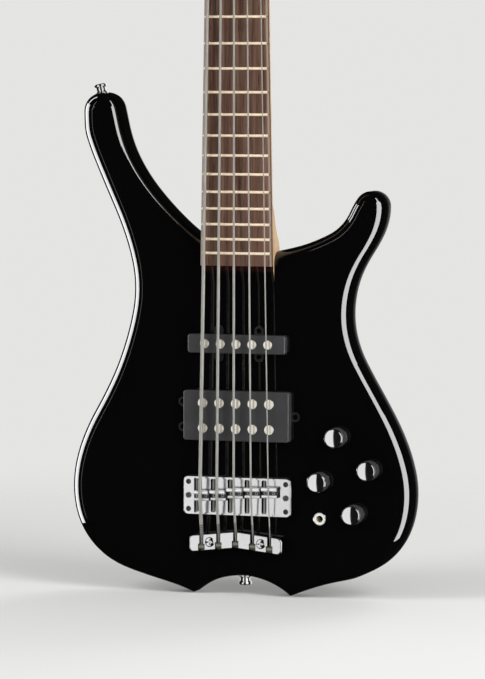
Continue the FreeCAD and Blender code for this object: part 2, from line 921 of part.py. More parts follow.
def make_truss_rod():
    low = board_end + board_overhang + rod_clearance
    start = Vector(0, rod_axis(), low)
    end = nut_line + nut_thickness
    save("truss_rod", rod(start, UP, rod_diameter, end + rod_nut_length / 2 - low))
    nut_base = Vector(0, rod_axis(), end + thread_play)
    barrel = rod(nut_base, UP, rod_nut_diameter, rod_nut_length)
    thread = rod(nut_base, UP, rod_diameter + 2 * thread_play, rod_nut_length / 2)
    key = hexagon_bar(nut_base + UP * (rod_nut_length * 0.6), UP, rod_nut_key, rod_nut_length)
    save("truss_rod_nut", barrel.cut([thread, key]))
    half = rod_cover_width / 2
    tip = rod_cover_tip_width / 2
    foot = Vector(0, 0, rod_cover_gap)
    side = Vector(half, 0, 0)
    right = Vector(tip, 0, rod_cover_length)
    left = Vector(-tip, 0, rod_cover_length)
    crown = Vector(0, 0, rod_cover_length + rod_cover_crown)
    outline = Part.Wire([line(foot - side, foot + side), line(foot + side, right), arc(right, crown, left),
                         line(left, foot - side)])
    plate = prism(outline, FORWARD * rod_cover_thickness)
    edge = fillet_limit(rod_cover_edge, rod_cover_thickness)
    plate = plate.makeFillet(edge, edges_at(plate, -rod_cover_thickness))
    holes = [sink_cut(place, BACKWARD, *cover_screw) for place in rod_cover_screws()]
    save("truss_rod_cover", on_head(plate.cut(holes)))


cover_screw = (cover_screw_head, cover_screw_diameter, cover_screw_length)


def rod_cover_screws():
    """Return the places of the rod cover's screws, on the flat headstock."""
    low, high = rod_cover_screw_ends
    places = [(-rod_cover_screw_x, low), (rod_cover_screw_x, low), (0, high)]
    return [Vector(x, -rod_cover_thickness, up) for x, up in places]


# Tuners
def tuner_screw_place(name):
    x, up = post_places[name]
    return Vector(x, head_thickness + housing_ear_thickness, up - housing_below - housing_ear / 2)


def head_screw_holes():
    """Return the holes for the tuner screws and the rod cover's screws, on the flat headstock."""
    holes = [sink_cut(tuner_screw_place(name), FORWARD, *cover_screw) for name in string_names]
    return holes + [sink_cut(place, BACKWARD, *cover_screw) for place in rod_cover_screws()]


def tuner_housing(name):
    """Return one closed gear housing with its screw ear, on the flat headstock."""
    x, up = post_places[name]
    half = housing_width / 2
    deep = head_thickness + housing_depth
    low = up - housing_below
    block = slab(x - half, x + half, head_thickness, deep, low, up + housing_above)
    corner = fillet_limit(housing_corner, housing_depth)
    block = block.makeFillet(corner, edges_along(block, BACKWARD) + edges_at(block, deep))
    ear_half = housing_ear_width / 2
    ear = slab(x - ear_half, x + ear_half, head_thickness, head_thickness + housing_ear_thickness,
               low - housing_ear, low + housing_corner + overcut)
    tips = [edge for edge in edges_along(ear, BACKWARD) if edge.CenterOfMass.z < low]
    ear = ear.makeFillet(fillet_limit(housing_corner, housing_ear), tips)
    post_bore = rod(Vector(x, head_thickness - overcut, up), BACKWARD, post_shank_diameter + 2 * post_play,
                    housing_depth / 2 + overcut)
    start, out = key_axis(name)
    key_bore = rod(start - out * post_play, out, key_shaft_diameter + 2 * post_play, housing_width)
    sink = sink_cut(tuner_screw_place(name), FORWARD, *cover_screw)
    return block.fuse(ear).cut([post_bore, key_bore, sink])


def make_tuner_fixtures():
    """Make the pieces of the tuners that stay still: housings, bushings and screws."""
    housings = []
    bushings = []
    screws = [cross_screw(place, BACKWARD, *cover_screw) for place in rod_cover_screws()]
    for name in string_names:
        x, up = post_places[name]
        housings.append(on_head(tuner_housing(name)))
        screws.append(cross_screw(tuner_screw_place(name), FORWARD, *cover_screw))
        sleeve = rod(Vector(x, 0, up), BACKWARD, bushing_diameter, head_thickness)
        flange = rod(Vector(x, 0, up), FORWARD, bushing_flange_diameter, bushing_flange_height)
        edge = fillet_limit(bushing_edge, bushing_flange_height)
        flange = flange.makeChamfer(edge, edges_at(flange, -bushing_flange_height))
        bore = rod(Vector(x, -bushing_flange_height, up), BACKWARD, post_shank_diameter + 2 * post_play,
                   head_thickness + bushing_flange_height)
        bushings.append(on_head(sleeve.fuse(flange).cut(bore)))
    save("tuner_housings", *housings)
    save("tuner_bushings", *bushings)
    save("headstock_screws", *[on_head(screw) for screw in screws])


def key_axis(name):
    """Return the inner end and the outward direction of a key's shaft, on the flat headstock."""
    x, up = post_places[name]
    out = Vector(-1 if x < 0 else 1, 0, 0)
    start = Vector(x, head_thickness + housing_depth / 2, up + worm_offset)
    return start + out * (housing_width / 2 - key_shaft_depth), out


def make_tuner(name):
    """Make the turning pieces of one tuner: the string post and the key."""
    x, up = post_places[name]
    shank = post_shank_diameter / 2
    drum = post_drum_diameter / 2
    flange = post_flange_diameter / 2
    low = bushing_flange_height + thread_play
    collar = bushing_flange_height + post_collar_height
    high = collar + post_drum_height
    top = high + post_cap_height
    bottom = -(head_thickness + housing_depth / 2 - thread_play)
    cap = post_cap_diameter / 2
    edge = post_cap_height / 4
    profile = [(0, bottom), (shank, bottom), (shank, low), (flange, low), (flange, low + post_flange_rim)]
    profile += [(drum, collar), (drum, high), (cap, top - 2 * edge), (cap, top - edge)]
    profile += [(cap - edge, top), (0, top)]
    post = turned(profile, Vector(x, 0, up), FORWARD)
    slot_half = post_slot_width / 2
    slot = slab(x - slot_half, x + slot_half, -top - overcut, -high, up - flange, up + flange)
    save("tuner_post_" + name, on_head(post.cut(slot)))
    start, out = key_axis(name)
    centre = Vector(x, start.y, start.z) + out * key_reach
    stem_length = abs(centre.x - start.x)
    stem = rod(start, out, key_shaft_diameter, stem_length)
    shoulder = Vector(x, start.y, start.z) + out * (housing_width / 2 + thread_play)
    stem = stem.fuse(rod(shoulder, out, key_collar_diameter, key_collar_length))
    face = centre + FORWARD * (key_button_thickness / 2)
    oval = Part.Ellipse(face + UP * (key_button_width / 2), face + out * (key_button_length / 2), face)
    button = prism(Part.Wire([oval.toShape()]), BACKWARD * key_button_thickness)
    rims = edges_at(button, face.y) + edges_at(button, face.y + key_button_thickness)
    button = button.makeChamfer(fillet_limit(key_button_edge, key_button_thickness), rims)
    save("tuner_key_" + name, on_head(stem.fuse(button)))


# Neck plate and its screws
def neck_screw_places():
    x = plate_width / 2 - plate_screw_inset
    z = plate_height / 2 - plate_screw_inset
    face = back + plate_thickness
    return [on_body(side * x, plate_centre + end * z, face) for side in (-1, 1) for end in (-1, 1)]


def neck_screw_length():
    return back + plate_thickness - pocket_floor + neck_screw_grip


def neck_screw_holes(diameter):
    """Return the holes that the neck screws pass through."""
    return [rod(place, FORWARD, diameter + 2 * thread_play, neck_screw_length() + diameter)
            for place in neck_screw_places()]


def make_neck_plate():
    half = plate_width / 2
    low = saddle_line + plate_centre - plate_height / 2
    face = back + plate_thickness
    corner = fillet_limit(plate_corner, plate_width)
    plate = rounded_slab(-half, half, back, face, low, low + plate_height, corner)
    plate = plate.makeChamfer(fillet_limit(plate_edge, plate_thickness), edges_at(plate, face))
    screw = (neck_screw_head, neck_screw_diameter, neck_screw_length())
    save("neck_plate", plate.cut([sink_cut(place, FORWARD, *screw) for place in neck_screw_places()]))
    save("neck_screws", *[cross_screw(place, FORWARD, *screw) for place in neck_screw_places()])


# Pickups
def neck_pickup():
    """Return the neck pickup's sizes, poles and ears."""
    reach = neck_pickup_width / 2 + ear_reach
    poles = [on_body((i - 2) * neck_pole_pitch, neck_pickup_z) for i in range(5)]
    ears = [on_body(x, neck_pickup_z + z) for x in (-neck_ear_x, neck_ear_x) for z in (-reach, reach)]
    sizes = (neck_pickup_z, neck_pickup_length, neck_pickup_width, neck_pickup_rise)
    return *sizes, neck_pole_diameter, poles, ears


def bridge_pickup():
    """Return the bridge pickup's sizes, poles and ears."""
    row = bridge_pole_rows / 2
    reach = bridge_pickup_length / 2 + ear_reach
    heights = (bridge_pickup_z - row, bridge_pickup_z + row)
    poles = [on_body((i - 2) * bridge_pole_pitch, height) for height in heights for i in range(5)]
    ears = [on_body(-reach, height) for height in heights] + [on_body(reach, bridge_pickup_z)]
    sizes = (bridge_pickup_z, bridge_pickup_length, bridge_pickup_width, bridge_pickup_rise)
    return *sizes, bridge_pole_diameter, poles, ears


def ear_shape(ear, centre_z, length, width, y0, y1, grow):
    """Return one ear of a pickup, a round lug that runs back into the cover."""
    lug = rod(Vector(ear.x, y0, ear.z), BACKWARD, 2 * (ear_radius + grow), y1 - y0)
    half = ear_radius + grow
    if abs(ear.x) > length / 2:
        inner = math.copysign(length / 2 - cover_wall, ear.x)
        low, high = sorted((ear.x, inner))
        return lug.fuse(slab(low, high, y0, y1, ear.z - half, ear.z + half))
    inner = saddle_line + centre_z + math.copysign(width / 2 - cover_wall, ear.z - saddle_line - centre_z)
    low, high = sorted((ear.z, inner))
    return lug.fuse(slab(ear.x - half, ear.x + half, y0, y1, low, high))


def pickup_rout(pickup):
    """Return the hole in the body that a pickup drops into."""
    centre_z, length, width, rise, pole, poles, ears = pickup
    grow = rout_clearance
    z = saddle_line + centre_z
    top = front - overcut
    floor = front + rout_depth
    hole = rounded_slab(-length / 2 - grow, length / 2 + grow, top, floor,
                        z - width / 2 - grow, z + width / 2 + grow, cover_corner + grow)
    pads = [ear_shape(ear, centre_z, length, width, top, floor, grow) for ear in ears]
    screws = [rod(Vector(ear.x, front, ear.z), BACKWARD, ear_screw_diameter + 2 * thread_play,
                  ear_recess + ear_screw_length + ear_screw_diameter) for ear in ears]
    return hole.fuse(pads + screws)


def make_pickup(name, pickup, rows):
    """Make a pickup's cover and pole pieces, and return its coils and screws."""
    centre_z, length, width, rise, pole, poles, ears = pickup
    z = saddle_line + centre_z
    top = front - rise
    floor = front + rout_depth - 2 * rout_clearance
    shell = rounded_slab(-length / 2, length / 2, top, floor, z - width / 2, z + width / 2, cover_corner)
    shell = shell.makeFillet(fillet_limit(cover_edge, cover_wall * 2), edges_at(shell, top))
    ear_top = front + ear_recess
    ear_back = ear_top + ear_thickness
    shell = shell.fuse([ear_shape(ear, centre_z, length, width, ear_top, ear_back, 0.0) for ear in ears])
    wall = cover_wall
    hollow = slab(-length / 2 + wall, length / 2 - wall, top + wall, floor + overcut,
                  z - width / 2 + wall, z + width / 2 - wall)
    reach = wall + 2 * overcut
    holes = [rod(Vector(p.x, top - overcut, p.z), BACKWARD, pole + 2 * pickup_play, reach) for p in poles]
    screw = (ear_screw_head, ear_screw_diameter, ear_screw_length)
    seats = [Vector(ear.x, ear_top, ear.z) for ear in ears]
    sinks = [sink_cut(seat, BACKWARD, *screw) for seat in seats]
    save(name + "_cover", shell.cut([hollow] + holes + sinks))
    tip = top - pole_proud
    pins = []
    for place in poles:
        pin = rod(Vector(place.x, tip, place.z), BACKWARD, pole, pole_length)
        pins.append(pin.makeChamfer(fillet_limit(pole_edge, pole), edges_at(pin, tip)))
    save(name + "_poles", *pins)
    coils = []
    share = (width - 2 * wall) / rows
    for row in range(rows):
        low = z - width / 2 + wall + row * share + pickup_play
        high = low + share - 2 * pickup_play
        corner = fillet_limit(share, high - low)
        end = length / 2 - wall - pickup_play
        coil = rounded_slab(-end, end, top + wall, top + wall + pole_length - pole_proud, low, high, corner)
        mine = [p for p in poles if low < p.z < high]
        coils.append(coil.cut([rod(Vector(p.x, top, p.z), BACKWARD, pole + 2 * pickup_play, 2 * pole_length)
                               for p in mine]))
    return coils, [cross_screw(seat, BACKWARD, *screw) for seat in seats]


def make_pickups():
    neck_coils, neck_screws = make_pickup("neck_pickup", neck_pickup(), 1)
    bridge_coils, bridge_screws = make_pickup("bridge_pickup", bridge_pickup(), 2)
    save("pickup_coils", *(neck_coils + bridge_coils))
    save("pickup_screws", *(neck_screws + bridge_screws))


# Bridge frame, its screws and the intonation screws
def frame_screw_x():
    return frame_width / 2 - frame_hole_inset


def frame_middle():
    return (frame_top + frame_bottom) / 2


def pitch_screw_x(index):
    return lane(index, 0) - screw_slot_offset


def make_bridge_frame():
    low = saddle_line + frame_bottom
    high = saddle_line + frame_top
    half = frame_width / 2
    face = front - frame_height
    frame = rounded_slab(-half, half, face, front, low, high, frame_corner)
    frame = frame.makeFillet(fillet_limit(frame_edge, frame_height), edges_at(frame, face))
    floor = front - tray_floor
    tray_half = tray_width / 2
    cuts = [rounded_slab(-tray_half, tray_half, face - overcut, floor, low + tray_rim, high - tray_rim,
                         frame_edge)]
    screws = []
    slot_low = low + tray_rim + screw_slot_inset
    slot_high = high - tray_rim - screw_slot_inset
    socket = tray_rim / 2
    pitch_screws = []
    for index in range(len(string_names)):
        x = pitch_screw_x(index)
        half_slot = screw_slot_width / 2
        corner = fillet_limit(screw_slot_corner, screw_slot_width)
        cuts.append(rounded_slab(x - half_slot, x + half_slot, floor - overcut, front + overcut,
                                 slot_low, slot_high, corner))
        axis = Vector(x, front - pitch_screw_lift, slot_low - socket)
        length = slot_high - slot_low + 2 * socket
        cuts.append(rod(axis, UP, pitch_screw_diameter + 2 * thread_play, length))
        shank = rod(axis + UP * thread_play, UP, pitch_screw_diameter, length - 2 * thread_play)
        head_diameter = min(pitch_screw_head, 2 * (pitch_screw_lift - thread_play))
        head = rod(Vector(x, axis.y, slot_low + thread_play), UP, head_diameter, pitch_screw_head_length)
        pitch_screws.append(shank.fuse(head))
    for side in (-1, 1):
        x = side * frame_screw_x()
        centre = on_body(x, frame_middle(), face + frame_screw_drop)
        cuts.append(sink_cut(centre, BACKWARD, *frame_screw))
        cuts.append(rod(centre, FORWARD, frame_screw_head + 2 * frame_screw_ring, frame_screw_drop + overcut))
        key = frame_screw_head / 2
        recess = hexagon_bar(centre, BACKWARD, key, key / 2)
        screws.append(screw_blank(centre, BACKWARD, *frame_screw).cut(recess))
        for end in (-1, 1):
            hole = on_body(x, frame_middle() + end * frame_hole_pitch, face)
            cuts.append(rod(hole, BACKWARD, level_screw_diameter + 2 * thread_play, frame_height))
            grub_top = hole + BACKWARD * level_screw_recess
            grub = rod(grub_top, BACKWARD, level_screw_diameter, frame_height - level_screw_recess)
            key = level_screw_diameter / 2
            screws.append(grub.cut(hexagon_bar(grub_top, BACKWARD, key, level_screw_socket)))
    save("bridge_frame", frame.cut(cuts))
    save("bridge_screws", *screws)
    save("intonation_screws", *pitch_screws)


frame_screw = (frame_screw_head, frame_screw_diameter, frame_screw_length)


# Saddles: a front bar under the string, a channel with two height screws, and a lower rear bar
def make_saddle(index):
    x = lane(index, 0)
    witness = saddle_line - saddle_setbacks[index]
    half = (bridge_pitch - saddle_gap) / 2
    string = string_point(index, -saddle_setbacks[index])
    radius = string_diameters[index] / 2
    crest = string.y + radius * (1 - 2 * saddle_bite) + string_clearance
    bar = saddle_bar / 2
    rear_start = witness - bar - saddle_channel
    rear = saddle_rear_bar / 2
    rear_end = rear_start - saddle_rear_bar
    foot = front - saddle_foot
    channel = front - saddle_channel_floor
    rear_top = front - saddle_rear_top

    def at(y, z):
        return Vector(x - half, y, z)

    edges = [
        line(at(foot, witness + bar), at(crest + bar, witness + bar)),
        arc(at(crest + bar, witness + bar), at(crest, witness), at(crest + bar, witness - bar)),
        line(at(crest + bar, witness - bar), at(channel, witness - bar)),
        line(at(channel, witness - bar), at(channel, rear_start)),
        line(at(channel, rear_start), at(rear_top + rear, rear_start)),
        arc(at(rear_top + rear, rear_start), at(rear_top, rear_start - rear), at(rear_top + rear, rear_end)),
        line(at(rear_top + rear, rear_end), at(foot, rear_end)),
        line(at(foot, rear_end), at(foot, witness + bar)),
    ]
    block = Part.Face(Part.Wire(edges)).extrude(Vector(2 * half, 0, 0))
    lug_x = pitch_screw_x(index)
    middle = witness - bar - saddle_channel / 2
    lug = slab(lug_x - lug_width / 2, lug_x + lug_width / 2, foot - overcut, front - lug_foot,
               middle - lug_length / 2, middle + lug_length / 2)
    slide = rod(Vector(lug_x, front - pitch_screw_lift, middle - lug_length), UP,
                pitch_screw_diameter + 2 * thread_play, 2 * lug_length)
    far = string_point(index, 2 * saddle_bar)
    near = string_point(index, -saddle_setbacks[index] - saddle_bar)
    groove = rod(near, far - near, 2 * (radius + string_clearance), near.distanceToPoint(far))
    cuts = [slide, groove]
    screws = []
    for side in (-1, 1):
        seat = Vector(x + side * height_screw_offset, front - tray_floor, middle)
        length = saddle_channel_floor + height_screw_proud - tray_floor
        cuts.append(rod(seat, FORWARD, height_screw_diameter + 2 * thread_play, 2 * length))
        grub = rod(seat, FORWARD, height_screw_diameter, length)
        key = height_screw_diameter / 2
        socket = hexagon_bar(seat + FORWARD * (length - key), FORWARD, key, 2 * key)
        screws.append(grub.cut(socket))
    save("saddle_" + string_names[index], block.fuse(lug).cut(cuts), *screws)


# Tailpiece
def tail_fall(x):
    """Return how far a wing of the tailpiece falls away at a distance from its middle."""
    return abs(x) * tail_drop / (tail_width / 2)


tail_screw = (tail_screw_head, tail_screw_diameter, tail_screw_length)


def tail_screw_places():
    height = tail_top - tail_fall(tail_screw_x) - tail_length / 2
    return [on_body(side * tail_screw_x, height, front - tail_height) for side in (-1, 1)]


def make_tailpiece():
    half = tail_width / 2
    top = front - tail_height

    def at(x, down):
        return on_body(x, tail_top - tail_fall(x) - down, front)

    upper = [at(-half, 0), at(0, 0), at(half, 0)]
    lower = [at(half, tail_length), at(0, tail_length), at(-half, tail_length)]
    bar = prism(polygon(upper + lower), FORWARD * tail_height)
    ends = [edge for edge in edges_along(bar, BACKWARD) if abs(edge.CenterOfMass.x) > same]
    bar = bar.makeFillet(fillet_limit(tail_corner, tail_length), ends)
    bar = bar.makeFillet(fillet_limit(tail_edge, tail_height), edges_at(bar, top))
    cuts = [sink_cut(place, BACKWARD, *tail_screw) for place in tail_screw_places()]
    for index in range(len(string_names)):
        ball = ball_centre(index)
        x = ball.x
        slot_half = tail_slot_width / 2
        cuts.append(slab(x - slot_half, x + slot_half, top - overcut, front - tail_slot_floor,
                         ball.z, ball.z + 2 * tail_length))
        pocket_half = tail_pocket_width / 2
        shoulder = ball.z + ball_radius + string_clearance
        floor = ball.y + ball_radius + thread_play
        cuts.append(slab(x - pocket_half, x + pocket_half, top - overcut, floor,
                         ball.z - tail_length, shoulder))
    save("tailpiece", bar.cut(cuts))
    save("tailpiece_screws", *[cross_screw(place, BACKWARD, *tail_screw, tail_screw_dome)
                               for place in tail_screw_places()])


# Knobs, potentiometers and jack
def make_knob(name):
    x, height = knob_places[name]
    base = on_body(x, height, front - knob_gap)
    radius = knob_diameter / 2
    recess = knob_recess_diameter / 2
    bore = shaft_diameter / 2 + shaft_play
    shoulder = knob_height - knob_edge
    profile = [(0, knob_height)]
    for step in range(knob_edge_steps + 1):
        turn = math.radians(90 * step / knob_edge_steps)
        profile.append((radius - knob_edge * (1 - math.sin(turn)), shoulder + knob_edge * math.cos(turn)))
    profile += [(radius, knob_foot), (radius - knob_foot, 0), (recess, 0), (recess, knob_recess_depth)]
    profile += [(bore, knob_recess_depth), (bore, knob_bore_depth), (0, knob_bore_depth)]
    knob = turned(profile, base, FORWARD)
    start = on_body(x, height, cavity_ceiling + shaft_diameter / 2)
    tip = front - knob_gap - knob_bore_depth + thread_play
    save(name + "_knob", knob, rod(start, FORWARD, shaft_diameter, start.y - tip))


def make_pots():
    pots = []
    nuts = []
    for x, height in knob_places.values():
        roof = on_body(x, height, cavity_ceiling)
        can = rod(roof, BACKWARD, pot_diameter, pot_height)
        can = can.makeChamfer(fillet_limit(pot_edge, pot_height), edges_at(can, cavity_ceiling + pot_height))
        bush = rod(roof, FORWARD, pot_bush_diameter, cavity_roof + pot_bush_proud)
        bore_start = on_body(x, height, cavity_ceiling + shaft_diameter / 2 + thread_play)
        bore = rod(bore_start, FORWARD, shaft_diameter + 2 * shaft_play, 2 * cavity_roof + shaft_diameter)
        pots.append(can.fuse(bush).cut(bore))
        face = on_body(x, height, front)
        nut = hexagon_bar(face, FORWARD, panel_nut_flats, panel_nut_height)
        nuts.append(nut.cut(rod(face, FORWARD, pot_bush_diameter + 2 * thread_play, panel_nut_height)))
    save("potentiometers", *pots)
    face = on_body(*jack_place, front)
    ring_height = jack_bush_proud - thread_play
    ring = rod(face, FORWARD, jack_nut_diameter, ring_height)
    ring = ring.makeChamfer(fillet_limit(jack_nut_edge, ring_height), edges_at(ring, front - ring_height))
    nuts.append(ring.cut(rod(face, FORWARD, jack_bush_diameter + 2 * thread_play, jack_bush_proud)))
    save("control_nuts", *nuts)


def make_jack():
    """Make the socket: a bushing through the front, a flange inside and a tip spring."""
    roof = on_body(*jack_place, cavity_ceiling)
    bush = rod(roof, FORWARD, jack_bush_diameter, cavity_roof + jack_bush_proud)
    flange = rod(roof, BACKWARD, jack_flange_diameter, jack_flange_thickness)
    bore = rod(on_body(*jack_place, front - jack_bush_proud), BACKWARD, jack_bore,
               cavity_roof + jack_bush_proud + jack_flange_thickness)
    foot = cavity_ceiling + jack_flange_thickness
    half = jack_spring_width / 2
    inner = roof.x + jack_bore / 2 + jack_spring_thickness
    outer = inner + jack_spring_thickness
    end = foot + jack_spring_length
    leaf = slab(inner, outer, foot - overcut, end, roof.z - half, roof.z + half)
    hook = slab(inner - jack_bore / 2, outer, end - jack_spring_thickness, end, roof.z - half, roof.z + half)
    save("output_jack", bush.fuse(flange).cut(bore).fuse([leaf, hook]))


# Back covers, amplifier board and battery
def control_points():
    """Return the knob and jack places, in order round the control cavity."""
    places = list(knob_places.values()) + [jack_place]
    middle_x = sum(x for x, z in places) / len(places)
    middle_z = sum(z for x, z in places) / len(places)
    places.sort(key=lambda place: math.atan2(place[1] - middle_z, place[0] - middle_x))
    return [on_body(x, z) for x, z in places]


def outward(points, step):
    """Return the outward normals of the two sides that meet at a corner, and their mean."""
    before = points[step] - points[step - 1]
    after = points[(step + 1) % len(points)] - points[step]
    first = Vector(before.z, 0, -before.x).normalize()
    second = Vector(after.z, 0, -after.x).normalize()
    return first, second, (first + second).normalize()


def hull_plate(points, margin, y0, y1):
    """Return a plate that keeps a margin round a convex ring of points."""
    edges = []
    for step in range(len(points)):
        corner = Vector(points[step].x, y0, points[step].z)
        following = points[(step + 1) % len(points)]
        first, second, mean = outward(points, step)
        edges.append(arc(corner + first * margin, corner + mean * margin, corner + second * margin))
        edges.append(line(corner + second * margin, Vector(following.x, y0, following.z) + second * margin))
    return prism(Part.Wire(edges), Vector(0, y1 - y0, 0))


def cover_screw_places():
    points = control_points()
    reach = cavity_margin + cover_lip / 2
    places = []
    for step, point in enumerate(points):
        place = point + outward(points, step)[2] * reach
        places.append(Vector(place.x, back, place.z))
    return places


def battery_half():
    """Return half the battery pocket's width and height."""
    return battery_length / 2 + battery_play, battery_width / 2 + battery_play


def battery_screw_places():
    half, low = battery_half()
    x, height = battery_centre
    return [on_body(x + side * (half + cover_lip / 2), height, back) for side in (-1, 1)]


def battery_plate(margin, y0, y1):
    half, low = battery_half()
    x, height = battery_centre
    z = saddle_line + height
    return rounded_slab(x - half - margin, x + half + margin, y0, y1, z - low - margin, z + low + margin,
                        battery_corner + margin)


def make_back():
    points = control_points()
    inside = back - cover_thickness
    plate = hull_plate(points, cavity_margin + cover_lip, inside, back)
    x, height = board_centre
    z = saddle_line + height
    feet = []
    for side in (-1, 1):
        for end in (-1, 1):
            foot = Vector(x + side * (board_width / 2 - standoff_diameter), inside,
                          z + end * (board_height / 2 - standoff_diameter))
            feet.append(rod(foot, FORWARD, standoff_diameter, standoff_height))
    holes = [sink_cut(place, FORWARD, *cover_screw) for place in cover_screw_places()]
    save("control_cover", plate.fuse(feet).cut(holes))
    lid = battery_plate(cover_lip, inside, back)
    holes = [sink_cut(place, FORWARD, *cover_screw) for place in battery_screw_places()]
    save("battery_cover", lid.cut(holes))
    places = cover_screw_places() + battery_screw_places()
    save("cover_screws", *[cross_screw(place, FORWARD, *cover_screw) for place in places])
    sheet_back = inside - standoff_height
    half = board_width / 2
    low = board_height / 2
    board = slab(x - half, x + half, sheet_back - board_sheet, sheet_back, z - low, z + low)
    top = sheet_back - board_sheet
    chips = []
    for step in (-1, 0, 1):
        middle = x + step * chip_pitch
        chips.append(slab(middle - chip_size / 2, middle + chip_size / 2, top - chip_height, top,
                          z - chip_size / 2, z + chip_size / 2))
    save("preamp_board", board.fuse(chips))
    x, height = battery_centre
    z = saddle_line + height
    half = battery_length / 2
    low = battery_width / 2
    rear = inside - battery_play
    case = rounded_slab(x - half + battery_stud, x + half, rear - battery_depth, rear, z - low, z + low,
                        battery_corner)
    quarter = battery_width / 4
    studs = []
    for side in (-1, 1):
        stud = Vector(x - half, rear - battery_depth / 2, z + side * quarter)
        studs.append(rod(stud, Vector(1, 0, 0), quarter, battery_stud))
    save("battery", case.fuse(studs))


# Strap buttons
def button_seats():
    """Return the seat and the outward direction of the end button and the horn button."""
    lean = math.radians(button_lean)
    horn_way = Vector(-math.sin(lean), 0, math.cos(lean))
    horn = on_body(bass_horn_x, bass_horn_z) + horn_way * (bass_horn_radius - button_seat)
    return [(on_body(0, -notch_drop), -UP), (horn, horn_way)]


def make_strap_buttons():
    buttons = []
    screws = []
    rim = button_diameter / 2
    waist = button_waist / 2
    bore = button_bore / 2
    bore_end = button_length - button_bore_depth
    hole = button_screw_diameter / 2 + thread_play
    edge = button_edge
    flare = button_length - button_rim
    profile = [(hole, 0), (rim, 0), (rim, button_base - edge), (waist, button_base + button_flare)]
    profile += [(waist, flare - edge), (rim, flare + edge / 2), (rim, button_length - edge)]
    profile += [(rim - edge, button_length)]
    profile += [(bore, button_length), (bore, bore_end), (bore + button_recess, bore_end)]
    profile += [(bore + button_recess, button_floor), (hole, button_floor)]
    for seat, way in button_seats():
        buttons.append(turned(profile, seat, way))
        shank = button_screw_diameter / 2
        head = button_screw_head / 2
        top = button_floor + button_screw_head_height
        tip = button_floor - button_screw_length
        screw = [(0, tip), (shank, tip + button_screw_diameter), (shank, button_floor), (head, button_floor),
                 (head, top - head_rim), (head - head_rim, top), (0, top)]
        screws.append(turned(screw, seat, way))
    save("strap_buttons", *buttons)
    save("strap_button_screws", *screws)


def strap_button_cuts():
    """Return the flat seats and screw holes for the strap buttons."""
    cuts = []
    for seat, way in button_seats():
        cuts.append(rod(seat, way, button_diameter + 2 * rout_clearance, button_length))
        cuts.append(rod(seat, -way, button_screw_diameter + 2 * thread_play, button_screw_length))
    return cuts


# Body: the outline, rounded front and back, with every pocket and hole
def make_body():
    body = rounded_body()
    top = saddle_line + heel_start + body_thickness
    pocket_end = saddle_line + tongue_end - pocket_clearance
    cuts = [neck_plan(front - board_rise, pocket_floor, pocket_end, top, pocket_clearance)]
    cuts += [pickup_rout(neck_pickup()), pickup_rout(bridge_pickup())]
    cuts += neck_screw_holes(neck_screw_diameter)
    points = control_points()
    inside = back - cover_thickness
    cuts.append(hull_plate(points, cavity_margin, cavity_ceiling, back))
    cuts.append(hull_plate(points, cavity_margin + cover_lip + cover_clearance, inside, back + overcut))
    cuts.append(battery_plate(0.0, inside - battery_depth - 2 * battery_play, back))
    cuts.append(battery_plate(cover_lip + cover_clearance, inside, back + overcut))
    places = cover_screw_places() + battery_screw_places()
    cuts += [sink_cut(place, FORWARD, *cover_screw) for place in places]
    bushes = [(place, pot_bush_diameter) for place in knob_places.values()]
    for place, diameter in bushes + [(jack_place, jack_bush_diameter)]:
        start = on_body(*place, front - overcut)
        cuts.append(rod(start, BACKWARD, diameter + 2 * panel_clearance, cavity_roof + 2 * overcut))
    for side in (-1, 1):
        seat = on_body(side * frame_screw_x(), frame_middle(), front - frame_height)
        cuts.append(sink_cut(seat, BACKWARD, *frame_screw))
    cuts += [sink_cut(place, BACKWARD, *tail_screw) for place in tail_screw_places()]
    cuts += strap_button_cuts()
    cuts += wire_channels()
    save("body", body.cut(cuts))


def wire_channels():
    """Return the drilled channels that lead the wires to the control cavity."""
    rout_floor = front + rout_depth - channel_diameter / 2
    neck_rout = on_body(0, neck_pickup_z, rout_floor)
    bridge_rout = on_body(0, bridge_pickup_z, rout_floor)
    treble_x, treble_z = knob_places["treble"]
    volume_x, volume_z = knob_places["volume"]
    control = on_body(volume_x, volume_z, rout_floor)
    battery_x, battery_z = battery_centre
    battery = on_body(battery_x, battery_z, rout_floor + channel_diameter)
    cavity = on_body(treble_x, treble_z, rout_floor + channel_diameter)
    runs = [(neck_rout, bridge_rout), (bridge_rout, control), (battery, cavity)]
    return [rod(start, end - start, channel_diameter, start.distanceToPoint(end)) for start, end in runs]


def make_strings():
    for index, name in enumerate(string_names):
        edges = string_path(index)
        wire = tube(edges, string_diameters[index])
        length = sum(edge.Length for edge in edges)
        expected = math.pi * (string_diameters[index] / 2) ** 2 * length
        print("string", name, "volume share", round(wire.Volume / expected, 4),
              "least gap", round(least_gap(edges[5:], string_diameters[index]), 3))
        save("string_" + name, wire, ball_end(index))


os.makedirs("parts", exist_ok=True)
make_body()
make_neck()
make_fingerboard()
make_nut()
make_truss_rod()
make_neck_plate()
make_pickups()
make_bridge_frame()
for string_index in range(len(string_names)):
    make_saddle(string_index)
make_tailpiece()
make_strings()
for knob_name in knob_places:
    make_knob(knob_name)
make_pots()
make_jack()
make_back()
make_strap_buttons()
make_tuner_fixtures()
for tuner_name in string_names:
    make_tuner(tuner_name)
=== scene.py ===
import json
import math

